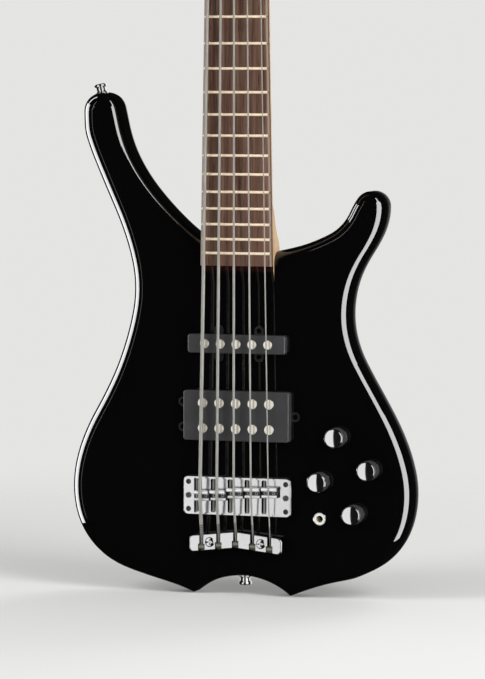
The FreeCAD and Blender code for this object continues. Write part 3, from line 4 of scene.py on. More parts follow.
import bmesh
import bpy
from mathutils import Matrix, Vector

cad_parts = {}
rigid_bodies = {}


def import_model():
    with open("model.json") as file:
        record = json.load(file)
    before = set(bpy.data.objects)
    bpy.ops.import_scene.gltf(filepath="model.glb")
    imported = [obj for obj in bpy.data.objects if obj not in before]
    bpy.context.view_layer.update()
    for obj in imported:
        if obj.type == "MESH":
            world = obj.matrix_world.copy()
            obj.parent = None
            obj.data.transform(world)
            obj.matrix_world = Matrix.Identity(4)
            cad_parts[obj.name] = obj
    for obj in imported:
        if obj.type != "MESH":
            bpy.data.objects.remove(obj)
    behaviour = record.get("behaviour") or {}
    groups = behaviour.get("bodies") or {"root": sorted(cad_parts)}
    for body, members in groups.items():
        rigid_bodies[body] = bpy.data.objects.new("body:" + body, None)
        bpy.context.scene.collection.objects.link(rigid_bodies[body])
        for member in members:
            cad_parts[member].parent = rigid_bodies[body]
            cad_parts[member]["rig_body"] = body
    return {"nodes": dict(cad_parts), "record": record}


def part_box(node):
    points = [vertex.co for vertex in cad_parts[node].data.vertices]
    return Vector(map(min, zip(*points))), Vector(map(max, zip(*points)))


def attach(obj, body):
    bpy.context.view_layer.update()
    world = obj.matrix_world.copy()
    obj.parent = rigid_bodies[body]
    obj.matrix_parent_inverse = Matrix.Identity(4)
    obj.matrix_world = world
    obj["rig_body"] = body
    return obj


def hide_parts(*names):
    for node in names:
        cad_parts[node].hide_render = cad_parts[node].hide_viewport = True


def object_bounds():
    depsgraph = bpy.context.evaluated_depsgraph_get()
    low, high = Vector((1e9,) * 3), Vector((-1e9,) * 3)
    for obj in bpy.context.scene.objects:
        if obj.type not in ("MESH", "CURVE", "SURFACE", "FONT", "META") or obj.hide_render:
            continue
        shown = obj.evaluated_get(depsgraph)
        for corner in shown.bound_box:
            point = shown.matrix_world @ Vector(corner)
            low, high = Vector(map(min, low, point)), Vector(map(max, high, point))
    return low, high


bl_info = {
    "name": "Five-string bass guitar",
    "version": (1, 0, 0),
    "blender": (4, 5, 0),
    "location": "View3D > Sidebar > Bass",
    "description": "Dresses the solids of a five-string electric bass guitar and lights it on a pale floor",
    "category": "Object",
}

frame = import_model()
cad_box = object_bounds()

IMAGE_HEIGHT = 679
SENSOR_HEIGHT = 36.0
STRINGS = ("b", "e", "a", "d", "g")
KNOBS = ("volume", "balance", "treble", "bass")
SLOTS = {part["node"]: part["material_slot"] for part in frame["record"]["subparts"]}
BODY = "instrument"
FORWARD = Vector((0, -1, 0))

# Finishes whose pieces share the lights of a group
GROUPS = {
    "bright_metal": {"chrome", "tray", "tail", "saddle", "jack", "bronze", "pole_steel", "string_steel",
                     "thread", "socket"},
    "lacquered": {"black_lacquer", "maple", "pickup_plastic"},
}

# Colours that only one finish has
# Painted reflection of the fingerboard's end, on the black just below it
BOARD_END_REFLECTION = (0.018, 0.006, 0.004)
BOARD_FIBRE = (0.18, 0.11, 0.085)
BOARD_OLIVE = (0.12, 0.085, 0.048)
# Painted highlight along the fingerboard's edges
BOARD_EDGE_HIGHLIGHT = (0.36, 0.29, 0.23)
BALL_BRASS = (0.29, 0.28, 0.21)
COPPER_DARK = (0.30, 0.09, 0.03)
COPPER_LIGHT = (0.62, 0.24, 0.09)
CHIP_BLACK = (0.012, 0.012, 0.013)

# Sizes of small details, in metres
WELD = 2e-6
NUT_SEAM = 0.0002
STAIN_TOP = 0.0006
STAIN_BACK = 0.0004
# Span below the fingerboard's end over which its painted reflection fades into the black
REFLECTION_SPAN = (0.0065, 0.0035)
# Band and depth of the painted highlight along the fingerboard's edges
EDGE_HIGHLIGHT_BAND = (0.0022, 0.0010)
EDGE_HIGHLIGHT_DEPTH = 0.0024
SUNK_DEPTH = 0.002
BALL_LENGTH = 0.0062
WINDING_PITCH = 0.00055
TRAY_FLOOR = 0.0026
TAIL_FLOOR = 0.0088
SADDLE_GROOVE = 0.0102
SADDLE_FLOOR = 0.0090
JACK_MOUTH = 0.0012
CHIP_LEVEL = 0.0018
FRET_INSET = 0.0012
DOT_DROP = 0.0026
DOT_THICKNESS = 0.0003
KNOB_LIFT = 0.0003
KNOB_CHAMFER = 0.0006
KNOB_HOLLOW = 0.0002

# Slopes of the neck's stain and of a knob's side
STAIN_SLOPE = 0.2
KNOB_SIDE_SLOPE = 0.3

# Steps and degrees of the knobs' turned shape
KNOB_SIDES = 72
KNOB_EDGE_STEPS = 7
KNOB_EDGE_TURN = 84
KNOB_DOME_STEPS = 8

# Stage, in metres
FLOOR_RADIUS = 1.3
FLOOR_FADE = (0.25, 1.2)
FLOOR_GAP = 0.0006
SOFT_WIDTH = 0.9
SOFT_HEIGHT = 2.0
PANEL_DISTANCE = 1.8
LEFT_CARD_PLACE = (-1.2, -2.0, 0.25)
LEFT_CARD_AIM = (-1.2, 0.0, 0.25)
LEFT_CARD_WIDTH = 1.52
LEFT_CARD_HEIGHT = 3.6

# Soft lights that don't show in gloss: name, place and the setting of the level
SOFT_LIGHTS = (
    ("left_light", (-1.35, -1.2, 0.9), "left_level"),
    ("right_light", (1.5, -1.0, 0.9), "right_level"),
    ("back_light", (0.5, 1.7, 1.0), "back_level"),
)

# Panels that show only in gloss: name, turn in degrees, width, lower and upper end, level's setting, group
PANELS = (
    ("left_panel", -88, 1.34, -0.66, 1.1, "panel_level", "lacquered"),
    ("left_tip", -88, 0.40, 1.1, 3.4, "panel_level", "lacquered"),
    ("right_panel", 71, 1.36, -1.4, 1.25, "panel_level", "lacquered"),
    ("right_slope", 71, 1.00, 1.25, 1.4, "panel_level", "lacquered"),
    ("right_neck", 71, 0.70, 1.4, 1.6, "panel_level", "lacquered"),
    ("right_tip", 71, 0.45, 1.6, 3.4, "panel_level", "lacquered"),
    ("left_line", -36, 0.06, -0.28, 1.5, "line_level", "lacquered"),
    ("right_card", 50, 1.44, -0.8, 1.7, "card_level", "bright_metal"),
    ("back_card", 180, 5.0, -1.0, 2.4, "card_level", "bright_metal"),
)

board_low, board_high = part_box("fingerboard")
nut_low, nut_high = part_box("nut")
fret_zero = nut_low.z + NUT_SEAM
body_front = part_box("body")[0].y


# Settings
class BassSizes(bpy.types.PropertyGroup):
    """Sizes of the pieces that are shaped here."""

    crease: bpy.props.FloatProperty(
        name="Crease", description="Edges that turn by more than this stay sharp",
        default=math.radians(28), subtype="ANGLE")
    scale_length: bpy.props.FloatProperty(
        name="Scale length", description="From the nut to the saddle line", default=0.8636, unit="LENGTH")
    fret_count: bpy.props.IntProperty(name="Frets", description="Number of frets", default=24)
    fret_height: bpy.props.FloatProperty(
        name="Fret height", description="How far a fret stands above the board",
        default=0.0012, unit="LENGTH")
    fret_width: bpy.props.FloatProperty(
        name="Fret width", description="Width of a fret's crown", default=0.0026, unit="LENGTH")
    board_radius: bpy.props.FloatProperty(
        name="Board radius", description="Radius of the fingerboard's crown", default=0.508, unit="LENGTH")
    board_end_width: bpy.props.FloatProperty(
        name="Board end width", description="Width of the fingerboard at the body end",
        default=board_high.x - board_low.x, unit="LENGTH")
    nut_width: bpy.props.FloatProperty(
        name="Nut width", description="Width of the fingerboard at the nut",
        default=nut_high.x - nut_low.x, unit="LENGTH")
    dot_diameter: bpy.props.FloatProperty(
        name="Side dot", description="Diameter of the side dots", default=0.0022, unit="LENGTH")
    knob_edge: bpy.props.FloatProperty(
        name="Knob edge", description="Rounding of a knob's rim", default=0.0019, unit="LENGTH")
    knob_dome: bpy.props.FloatProperty(
        name="Knob dome", description="Rise of a knob's top to its middle", default=0.0007, unit="LENGTH")
    twist_length: bpy.props.FloatProperty(
        name="Twist length", description="Length of the twisted wire by a ball end", default=0.017,
        unit="LENGTH")
    twist_turns: bpy.props.FloatProperty(
        name="Twist turns", description="Turns of the twisted wire by a ball end", default=9.0)


class BassColours(bpy.types.PropertyGroup):
    """Colours of the finishes."""

    lacquer: bpy.props.FloatVectorProperty(
        name="Lacquer", description="Body lacquer", size=3, subtype="COLOR", default=(0.0013, 0.0013, 0.0014))
    maple: bpy.props.FloatVectorProperty(
        name="Maple", description="Neck wood", size=3, subtype="COLOR", default=(0.72, 0.48, 0.27))
    board: bpy.props.FloatVectorProperty(
        name="Board", description="Fingerboard wood", size=3, subtype="COLOR", default=(0.102, 0.051, 0.034))
    bronze: bpy.props.FloatVectorProperty(
        name="Bronze", description="Frets", size=3, subtype="COLOR", default=(1.0, 0.81, 0.60))
    chrome: bpy.props.FloatVectorProperty(
        name="Chrome", description="Plated metal", size=3, subtype="COLOR", default=(0.83, 0.83, 0.84))
    steel: bpy.props.FloatVectorProperty(
        name="Steel", description="Screws and inner steel", size=3, subtype="COLOR",
        default=(0.52, 0.52, 0.53))
    pole: bpy.props.FloatVectorProperty(
        name="Poles", description="Pole pieces", size=3, subtype="COLOR", default=(0.88, 0.84, 0.75))
    string: bpy.props.FloatVectorProperty(
        name="Strings", description="Wound strings", size=3, subtype="COLOR", default=(0.68, 0.66, 0.61))
    pickup: bpy.props.FloatVectorProperty(
        name="Pickups", description="Pickup covers", size=3, subtype="COLOR", default=(0.036, 0.036, 0.038))
    cover: bpy.props.FloatVectorProperty(
        name="Covers", description="Back covers", size=3, subtype="COLOR", default=(0.018, 0.018, 0.018))


class BassStage(bpy.types.PropertyGroup):
    """Camera, floor and light."""

    azimuth: bpy.props.FloatProperty(
        name="Azimuth", description="Camera's turn towards the treble side",
        default=math.radians(18.0), subtype="ANGLE")
    pitch: bpy.props.FloatProperty(
        name="Pitch", description="How far the camera looks down",
        default=math.radians(4.14), subtype="ANGLE")
    distance: bpy.props.FloatProperty(
        name="Distance", description="From the camera to its aim", default=3.66, unit="LENGTH")
    focal_pixels: bpy.props.FloatProperty(
        name="Focal length", description="Focal length in pixels of the image", default=4000.0)
    aim: bpy.props.FloatVectorProperty(
        name="Aim", description="Point in the middle of the image", size=3, subtype="XYZ",
        default=(0.0078, -0.0325, 0.230), unit="LENGTH")
    floor: bpy.props.FloatVectorProperty(
        name="Floor", description="Floor colour", size=3, subtype="COLOR", default=(0.80, 0.80, 0.79))
    backdrop: bpy.props.FloatVectorProperty(
        name="Backdrop", description="Background colour", size=3, subtype="COLOR", default=(0.78, 0.78, 0.77))
    ambient: bpy.props.FloatProperty(
        name="Ambient", description="Light from all round on plain surfaces", default=0.28)
    left_level: bpy.props.FloatProperty(
        name="Left light", description="Brightness of the left soft light", default=5.0)
    right_level: bpy.props.FloatProperty(
        name="Right light", description="Brightness of the right soft light", default=6.5)
    back_level: bpy.props.FloatProperty(
        name="Back light", description="Brightness of the soft light behind", default=3.0)
    panel_level: bpy.props.FloatProperty(
        name="Panels", description="Brightness of the panels that are seen only in gloss", default=10.0)
    line_level: bpy.props.FloatProperty(
        name="Line light", description="Brightness of the thin light that draws an edge", default=3.0)
    card_level: bpy.props.FloatProperty(
        name="Cards", description="Brightness of the cards that are seen in bright metal", default=0.88)


# Shader sums
class Term:
    """A socket that can stand in a sum."""

    def __init__(self, finish, socket):
        self.finish = finish
        self.socket = socket

    def join(self, operation, first, second):
        return self.finish.node("ShaderNodeMath", {"operation": operation}, {0: first, 1: second})

    def __add__(self, other):
        return self.join("ADD", self, other)

    def __sub__(self, other):
        return self.join("SUBTRACT", self, other)

    def __rsub__(self, other):
        return self.join("SUBTRACT", other, self)

    def __mul__(self, other):
        return self.join("MULTIPLY", self, other)

    def __truediv__(self, other):
        return self.join("DIVIDE", self, other)

    def __pow__(self, other):
        return self.join("POWER", self, other)

    def __rpow__(self, other):
        return self.join("POWER", other, self)

    def __abs__(self):
        return self.finish.node("ShaderNodeMath", {"operation": "ABSOLUTE"}, {0: self})

    def __gt__(self, other):
        return self.join("GREATER_THAN", self, other)

    def __lt__(self, other):
        return self.join("LESS_THAN", self, other)

    __radd__ = __add__
    __rmul__ = __mul__


class Finish:
    """A node tree under construction."""

    def __init__(self, tree):
        self.tree = tree

    def node(self, kind, settings=None, sockets=None, out=0):
        """Add a node, set it up, fill or link its sockets and return one of its outputs."""
        made = self.tree.nodes.new(kind)
        for key, value in (settings or {}).items():
            setattr(made, key, value)
        for key, value in (sockets or {}).items():
            self.fill(made.inputs[key], value)
        return Term(self, made.outputs[out])

    def fill(self, socket, value):
        if isinstance(value, Term):
            self.tree.links.new(value.socket, socket)
        elif socket.type == "RGBA" and len(value) == 3:
            socket.default_value = (*value, 1)
        else:
            socket.default_value = value

    def place(self, stretch=(1, 1, 1)):
        """Return object coordinates, scaled along each axis."""
        point = self.node("ShaderNodeTexCoord", out="Object")
        return self.node("ShaderNodeVectorMath", {"operation": "MULTIPLY"}, {0: point, 1: stretch})

    def axes(self, point):
        """Return the three numbers of a vector."""
        parts = self.node("ShaderNodeSeparateXYZ", sockets={0: point}).socket.node
        return [Term(self, output) for output in parts.outputs]

    def noise(self, point, scale, detail=2.0, roughness=0.5, twist=0.0):
        return self.node("ShaderNodeTexNoise", sockets={
            "Vector": point, "Scale": scale, "Detail": detail, "Roughness": roughness, "Distortion": twist})

    def spread(self, value, low, high, to_low=0.0, to_high=1.0):
        """Return a value stretched from one range to another, smoothly and within limits."""
        return self.node("ShaderNodeMapRange", {"interpolation_type": "SMOOTHSTEP"}, {
            "Value": value, "From Min": low, "From Max": high, "To Min": to_low, "To Max": to_high})

    def blend(self, share, first, second):
        """Return a colour between two colours."""
        return self.node("ShaderNodeMix", {"data_type": "RGBA"}, {0: share, 6: first, 7: second}, out=2)

    def bump(self, height, depth, strength=1.0):
        return self.node("ShaderNodeBump", sockets={
            "Height": height, "Distance": depth, "Strength": strength})


class Paint(Finish):
    """A material under construction, on one principled shader."""

    def __init__(self, name):
        self.material = bpy.data.materials.new(name)
        self.material.use_nodes = True
        super().__init__(self.material.node_tree)
        self.shader = self.tree.nodes["Principled BSDF"]

    def set(self, **sockets):
        """Fill or link the shader's sockets, written with _ for a space."""
        for key, value in sockets.items():
            self.fill(self.shader.inputs[key.replace("_", " ")], value)


def shade(colour, factor):
    """Return a colour made darker or lighter."""
    return tuple(min(1.0, channel * factor) for channel in colour)


def lacquer(name, colours):
    """Black gloss lacquer with a faint cloud and haze."""
    paint = Paint(name)
    place = paint.place()
    cloud = paint.noise(place, 11.0, 2.0)
    haze = paint.spread(paint.noise(place, 700.0, 4.0, 0.7), 0.45, 0.8)
    paint.set(Base_Color=paint.blend(cloud, shade(colours.lacquer, 0.7), shade(colours.lacquer, 1.3)),
              Roughness=0.03 + 0.035 * haze * cloud,
              Normal=paint.bump(paint.noise(place, 260.0, 1.0), 0.00001, 0.25),
              IOR=1.62)
    return paint.material


def maple(name, colours):
    """Pale wood with long grain and a faint cross figure, stained black where it lies under the strings, with
    a painted reflection of the fingerboard's end on the black just below it.
    """
    paint = Paint(name)
    place = paint.place()
    grain = paint.noise(paint.place((130, 130, 5.5)), 1.0, 4.0, 0.55, 0.6)
    flecks = paint.spread(paint.noise(paint.place((900, 900, 28)), 1.0, 2.0), 0.60, 0.72)
    figure = paint.noise(paint.place((16, 22, 120)), 1.0, 1.0)
    wood = paint.blend(paint.spread(grain, 0.32, 0.68),
                       shade(colours.maple, 0.74), shade(colours.maple, 1.16))
    wood = paint.blend(paint.spread(figure, 0.4, 0.7, 0.0, 0.28), wood, shade(colours.maple, 1.28))
    wood = paint.blend(flecks * 0.35, wood, shade(colours.maple, 0.45))
    deep, up = paint.axes(place)[1:]
    behind = board_high.y + STAIN_BACK + (board_low.z - up) * STAIN_SLOPE
    stained = (up < board_low.z + STAIN_TOP) * (deep < behind)
    # Painted reflection: dark red-brown just below the fingerboard's end, fading into the black further down
    reflection_share = paint.spread(up, *(board_low.z - drop for drop in REFLECTION_SPAN))
    tongue_and_reflection = paint.blend(reflection_share, colours.lacquer, BOARD_END_REFLECTION)
    paint.set(Base_Color=paint.blend(stained, wood, tongue_and_reflection),
              Roughness=paint.spread(grain, 0.3, 0.7, 0.36, 0.28) * (1 - stained * 0.85),
              Normal=paint.bump((grain - flecks * 0.5) * (1 - stained), 0.00005, 0.3))
    return paint.material


def dark_wood(name, colours):
    """Open-pored dark wood with streaks and pores along the neck, with a painted pale highlight along its
    edges.
    """
    paint = Paint(name)
    streak = paint.noise(paint.place((150, 150, 4.0)), 1.0, 5.0, 0.6, 0.4)
    fine = paint.noise(paint.place((900, 900, 16)), 1.0, 3.0, 0.6)
    pores = paint.spread(paint.noise(paint.place((1500, 1500, 55)), 1.0, 1.0), 0.62, 0.70)
    wood = paint.blend(paint.spread(streak, 0.34, 0.66),
                       shade(colours.board, 0.55), shade(colours.board, 1.45))
    wood = paint.blend(paint.spread(fine, 0.42, 0.62, 0.0, 0.65), wood, BOARD_FIBRE)
    hue = paint.noise(paint.place((60, 60, 9)), 1.0, 2.0)
    wood = paint.blend(paint.spread(hue, 0.5, 0.7, 0.0, 0.4), wood, BOARD_OLIVE)
    wood = paint.blend(pores * 0.8, wood, shade(colours.board, 0.25))
    across, deep, up = paint.axes(paint.place())
    rim = abs(across) - board_half(bpy.context.scene.bass_sizes, up)
    # Painted highlight: a pale band along the board's edges on its front, where a lit edge catches the light
    band = paint.spread(rim, *(-inset for inset in EDGE_HIGHLIGHT_BAND), 0.0, 0.8)
    wear_and_highlight = band * (deep < board_low.y + EDGE_HIGHLIGHT_DEPTH)
    wood = paint.blend(wear_and_highlight, wood, BOARD_EDGE_HIGHLIGHT)
    paint.set(Base_Color=wood, Roughness=paint.spread(fine, 0.3, 0.7, 0.50, 0.36) + pores * 0.2,
              Normal=paint.bump(fine * 0.4 - pores, 0.00008, 0.5), Specular_IOR_Level=0.3)
    return paint.material


def metal(name, colour, rough, mottle=0.25, brush=(60, 60, 60), depth=0.0, share=1.0, recesses=()):
    """Metal with faint smears and marks along the least scaled axis, in other tints behind given depths, such
    as painted shade in recesses.
    """
    paint = Paint(name)
    smear = paint.noise(paint.place(), 38.0, 3.0, 0.6)
    marks = paint.noise(paint.place(brush), 30.0, 2.0, 0.6)
    tint = paint.blend(smear, shade(colour, 0.93), shade(colour, 1.05))
    for behind, dark in recesses:
        tint = paint.blend(paint.axes(paint.place())[1] > behind, tint, dark)
    paint.set(Base_Color=tint,
              Metallic=share,
              Roughness=rough * (1 - mottle) + rough * mottle * (smear + marks))
    if depth:
        paint.set(Normal=paint.bump(marks, depth, 0.5))
    return paint.material


def plastic(name, colour, rough, grain=1800.0, depth=0.00004):
    """Moulded plastic with a fine grain and slight rub marks, with painted shade where it lies sunk in the
    body's front.
    """
    paint = Paint(name)
    fine = paint.noise(paint.place(), grain, 2.0, 0.6)
    rub = paint.noise(paint.place((30, 30, 90)), 1.0, 3.0, 0.6)
    deep = paint.axes(paint.place())[1]
    # Painted shade on the part that lies sunk within the body's front
    sunk = (deep > body_front) * (deep < body_front + SUNK_DEPTH)
    tint = paint.blend(rub, shade(colour, 0.85), shade(colour, 1.18))
    paint.set(Base_Color=paint.blend(sunk, tint, shade(colour, 0.45)),
              Roughness=rough + 0.12 * (rub - 0.5),
              Normal=paint.bump(fine, depth, 0.6), Specular_IOR_Level=0.35)
    return paint.material


def wound(name, colours):
    """Round-wound string, twisted by its ball end, with painted shade in the twist's grooves and the ball in
    brass.
    """
    paint = Paint(name)
    sizes = bpy.context.scene.bass_sizes
    place = paint.place()
    across, deep, up = paint.axes(place)
    low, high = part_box("string_a")[0].z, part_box("string_b")[0].z
    along = up - low - abs(across) * ((high - low) / -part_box("string_b")[0].x)
    ball = along < BALL_LENGTH
    twist = (1 - ball) * (along < BALL_LENGTH + sizes.twist_length)
    turn = along * (2 * math.pi * sizes.twist_turns / sizes.twist_length)
    plies = paint.node("ShaderNodeMath", {"operation": "SINE"}, {0: turn + (across + deep) * 900.0})
    turns = paint.node("ShaderNodeMath", {"operation": "SINE"}, {0: up * (2 * math.pi / WINDING_PITCH)})
    wear_and_highlight = paint.noise(place, 90.0, 3.0, 0.6)
    steel = paint.blend(wear_and_highlight, shade(colours.string, 0.80), shade(colours.string, 1.12))
    # Painted shade in the grooves between the twisted wire's plies
    groove_shade = twist * paint.spread(plies, -0.6, 0.6, 0.85, 0.25)
    steel = paint.blend(groove_shade, steel, shade(colours.string, 0.22))
    paint.set(Base_Color=paint.blend(ball, steel, BALL_BRASS),
              Metallic=0.85,
              Roughness=0.30 + 0.12 * wear_and_highlight,
              Normal=paint.bump(turns + twist * plies * 4.0, 0.00003, 0.2))
    return paint.material


def copper(name):
    """Fine coil wire, wound along the pickup."""
    paint = Paint(name)
    wire = paint.noise(paint.place((0.2, 1, 1)), 4200.0, 1.0)
    paint.set(Base_Color=paint.blend(wire, COPPER_DARK, COPPER_LIGHT),
              Metallic=0.8,
              Roughness=0.35,
              Normal=paint.bump(wire, 0.00005, 0.5))
    return paint.material


def circuit(name):
    """Green board with darker tracks and black chips on its front."""
    paint = Paint(name)
    place = paint.place()
    tracks = paint.node("ShaderNodeTexBrick", sockets={
        "Vector": place, "Scale": 160.0, "Mortar Size": 0.04,
        "Color1": (0.012, 0.085, 0.035), "Color2": (0.015, 0.10, 0.042), "Mortar": (0.03, 0.16, 0.07)})
    deep = paint.axes(place)[1]
    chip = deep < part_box("preamp_board")[1].y - CHIP_LEVEL
    paint.set(Base_Color=paint.blend(chip, tracks, CHIP_BLACK),
              Roughness=0.32 + 0.2 * paint.noise(place, 300.0))
    return paint.material


def finish_for(slot):
    """Return the material of a slot, made on first use."""
    name = "finish_" + slot
    made = bpy.data.materials.get(name)
    if made:
        return made
    colours = bpy.context.scene.bass_colours
    makers = {
        "black_lacquer": lambda: lacquer(name, colours),
        "maple": lambda: maple(name, colours),
        "dark_wood": lambda: dark_wood(name, colours),
        "bronze": lambda: metal(name, colours.bronze, 0.42, 0.3, (8, 60, 60), share=0.2),
        "bone": lambda: plastic(name, (0.012, 0.012, 0.012), 0.35, 900.0),
        "steel": lambda: metal(name, colours.steel, 0.30),
        "pole_steel": lambda: metal(name, colours.pole, 0.20, 0.4, (140, 140, 20), 0.00002, share=0.8),
        "string_steel": lambda: wound(name, colours),
        "pickup_plastic": lambda: plastic(name, colours.pickup, 0.42),
        "coil_wire": lambda: copper(name),
        "chrome": lambda: metal(name, colours.chrome, 0.07, 0.3),
        # Painted shade: the bridge frame's tray floor and slots near black
        "tray": lambda: metal(name, colours.chrome, 0.16, 0.2, (10, 60, 60), recesses=[
            (body_front - TRAY_FLOOR, shade(colours.chrome, 0.04))]),
        # Painted shade: the tailpiece's slots dark grey
        "tail": lambda: metal(name, colours.chrome, 0.16, 0.2, (10, 60, 60), recesses=[
            (body_front - TAIL_FLOOR, shade(colours.chrome, 0.10))]),
        # Painted shade: the saddles' grooves and channel floor darker
        "saddle": lambda: metal(name, colours.chrome, 0.24, 0.2, (10, 60, 60), share=0.45, recesses=[
            (body_front - SADDLE_GROOVE, shade(colours.chrome, 0.35)),
            (body_front - SADDLE_FLOOR, shade(colours.chrome, 0.05))]),
        "jack": lambda: metal(name, (0.80, 0.78, 0.70), 0.2, share=0.3, recesses=[
            (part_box("output_jack")[0].y + JACK_MOUTH, (0.75, 0.70, 0.52))]),
        "socket": lambda: metal(name, (0.11, 0.11, 0.11), 0.28, 0.4, share=0.6),
        "thread": lambda: metal(name, (0.32, 0.32, 0.31), 0.3, 0.4, (10, 10, 60), 0.0001, share=0.6),
        "knurl": lambda: metal(name, (0.09, 0.09, 0.09), 0.5, 0.4, (90, 90, 90), 0.0001, share=0.3),
        "black_steel": lambda: metal(name, (0.07, 0.07, 0.07), 0.36),
        "tin": lambda: metal(name, (0.60, 0.60, 0.58), 0.38, 0.4),
        "black_plastic": lambda: plastic(name, colours.cover, 0.38, 1300.0),
        "circuit": lambda: circuit(name),
        "battery_case": lambda: metal(name, (0.22, 0.22, 0.24), 0.35),
        "dot": lambda: plastic(name, (0.80, 0.77, 0.68), 0.3, 600.0, 0.00001),
    }
    return makers[slot]()


# Pieces
def plain_mesh(piece):
    """Return the evaluated mesh of an object and remove the object."""
    graph = bpy.context.evaluated_depsgraph_get()
    mesh = bpy.data.meshes.new_from_object(piece.evaluated_get(graph), depsgraph=graph)
    bpy.data.objects.remove(piece)
    return mesh


def linked(name, mesh):
    piece = bpy.data.objects.new(name, mesh)
    bpy.context.scene.collection.objects.link(piece)
    return piece


def seat(name, mesh, body, slot, *nodes):
    """Link a mesh as a piece on a body, with the nodes that it stands for; its slot argument is not used."""
    mesh.name = name
    piece = linked(name, mesh)
    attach(piece, body)
    if nodes:
        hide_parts(*nodes)
    finish = mesh.materials[0].name.removeprefix("finish_")
    for label, finishes in GROUPS.items():
        if finish in finishes:
            group(label).objects.link(piece)
    return piece


def group(name):
    """Return a group of pieces that share a light, made on first use."""
    return bpy.data.collections.get(name) or bpy.data.collections.new(name)


def welded(node):
    """Return a smooth-shaded copy of a node's mesh, joined along its edges, with its creases kept."""
    shape = bmesh.new()
    shape.from_mesh(frame["nodes"][node].data)
    bmesh.ops.remove_doubles(shape, verts=shape.verts, dist=WELD)
    mesh = bpy.data.meshes.new(node)
    shape.to_mesh(mesh)
    shape.free()
    for name in ("custom_normal", "sharp_face", "sharp_edge"):
        if name in mesh.attributes:
            mesh.attributes.remove(mesh.attributes[name])
    mesh.materials.clear()
    mesh.shade_smooth()
    mesh.set_sharp_from_angle(angle=bpy.context.scene.bass_sizes.crease)
    piece = linked(node + "_draft", mesh)
    levelled = piece.modifiers.new("level", "WEIGHTED_NORMAL")
    levelled.mode = "FACE_AREA_WITH_ANGLE"
    levelled.keep_sharp = True
    return plain_mesh(piece)


def dress(node, finish=None):
    """Stand a smooth copy of a node in its place, in its finish."""
    mesh = welded(node)
    slot = SLOTS[node]
    mesh.materials.append(finish_for(finish or slot))
    return seat(node + "_skin", mesh, frame["nodes"][node]["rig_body"], slot, node)


def coat(node, finish=None):
    """Give a node its finish and leave its shape."""
    mesh = frame["nodes"][node].data
    mesh.materials.clear()
    mesh.materials.append(finish_for(finish or SLOTS[node]))


def turned(profile, base, way, sides):
    """Return a mesh turned round an axis from points of radius and height."""
    across = way.orthogonal().normalized()
    aside = way.cross(across)
    shape = bmesh.new()
    rings = []
    for radius, height in profile:
        if radius == 0:
            rings.append([shape.verts.new(base + way * height)])
            continue
        ring = []
        for side in range(sides):
            angle = 2 * math.pi * side / sides
            offset = across * (radius * math.cos(angle)) + aside * (radius * math.sin(angle))
            ring.append(shape.verts.new(base + way * height + offset))
        rings.append(ring)
    for low, high in zip(rings, rings[1:]):
        for side in range(sides):
            near = (side + 1) % sides
            corners = [low[side % len(low)], low[near % len(low)],
                       high[near % len(high)], high[side % len(high)]]
            shape.faces.new(list(dict.fromkeys(corners)))
    bmesh.ops.recalc_face_normals(shape, faces=shape.faces)
    mesh = bpy.data.meshes.new("turned")
    shape.to_mesh(mesh)
    shape.free()
    mesh.shade_smooth()
    return mesh


# Geometry node trees
class Grove(Finish):
    """A geometry node tree under construction, with named inputs."""

    def __init__(self, name, **inputs):
        super().__init__(bpy.data.node_groups.new(name, "GeometryNodeTree"))
        sockets = self.tree.interface
        sockets.new_socket("Geometry", in_out="INPUT", socket_type="NodeSocketGeometry")
        sockets.new_socket("Geometry", in_out="OUTPUT", socket_type="NodeSocketGeometry")
        self.inputs = {}
        for label, value in inputs.items():
            kind = "NodeSocketInt" if isinstance(value, int) else "NodeSocketFloat"
            made = sockets.new_socket(label, in_out="INPUT", socket_type=kind)
            self.inputs[made.identifier] = value
        self.source = self.tree.nodes.new("NodeGroupInput")
        self.end = self.tree.nodes.new("NodeGroupOutput")

    def value(self, label):
        return Term(self, self.source.outputs[label])

    def vector(self, x, y, z):
        return self.node("ShaderNodeCombineXYZ", sockets={0: x, 1: y, 2: z})

    def grow(self, name, mesh, geometry, finish):
        """Close the tree, run it on a mesh and return the plain result in its finish."""
        real = self.node("GeometryNodeRealizeInstances", sockets={0: geometry})
        smooth = self.node("GeometryNodeSetShadeSmooth", sockets={0: real})
        dressed = self.node("GeometryNodeSetMaterial", sockets={0: smooth, "Material": finish_for(finish)})
        self.fill(self.end.inputs[0], dressed)
        piece = linked(name + "_draft", mesh)
        grown = piece.modifiers.new("grow", "NODES")
        grown.node_group = self.tree
        for key, value in self.inputs.items():
            grown[key] = value
        result = plain_mesh(piece)
        result.set_sharp_from_angle(angle=bpy.context.scene.bass_sizes.crease)
        result.materials.clear()
        result.materials.append(finish_for(finish))
        return result


def board_half(sizes, up):
    """Return half the fingerboard's width at a height, given as a number or a socket."""
    slope = (sizes.nut_width - sizes.board_end_width) / 2 / (board_high.z - board_low.z)
    return (up - board_low.z) * slope + sizes.board_end_width / 2


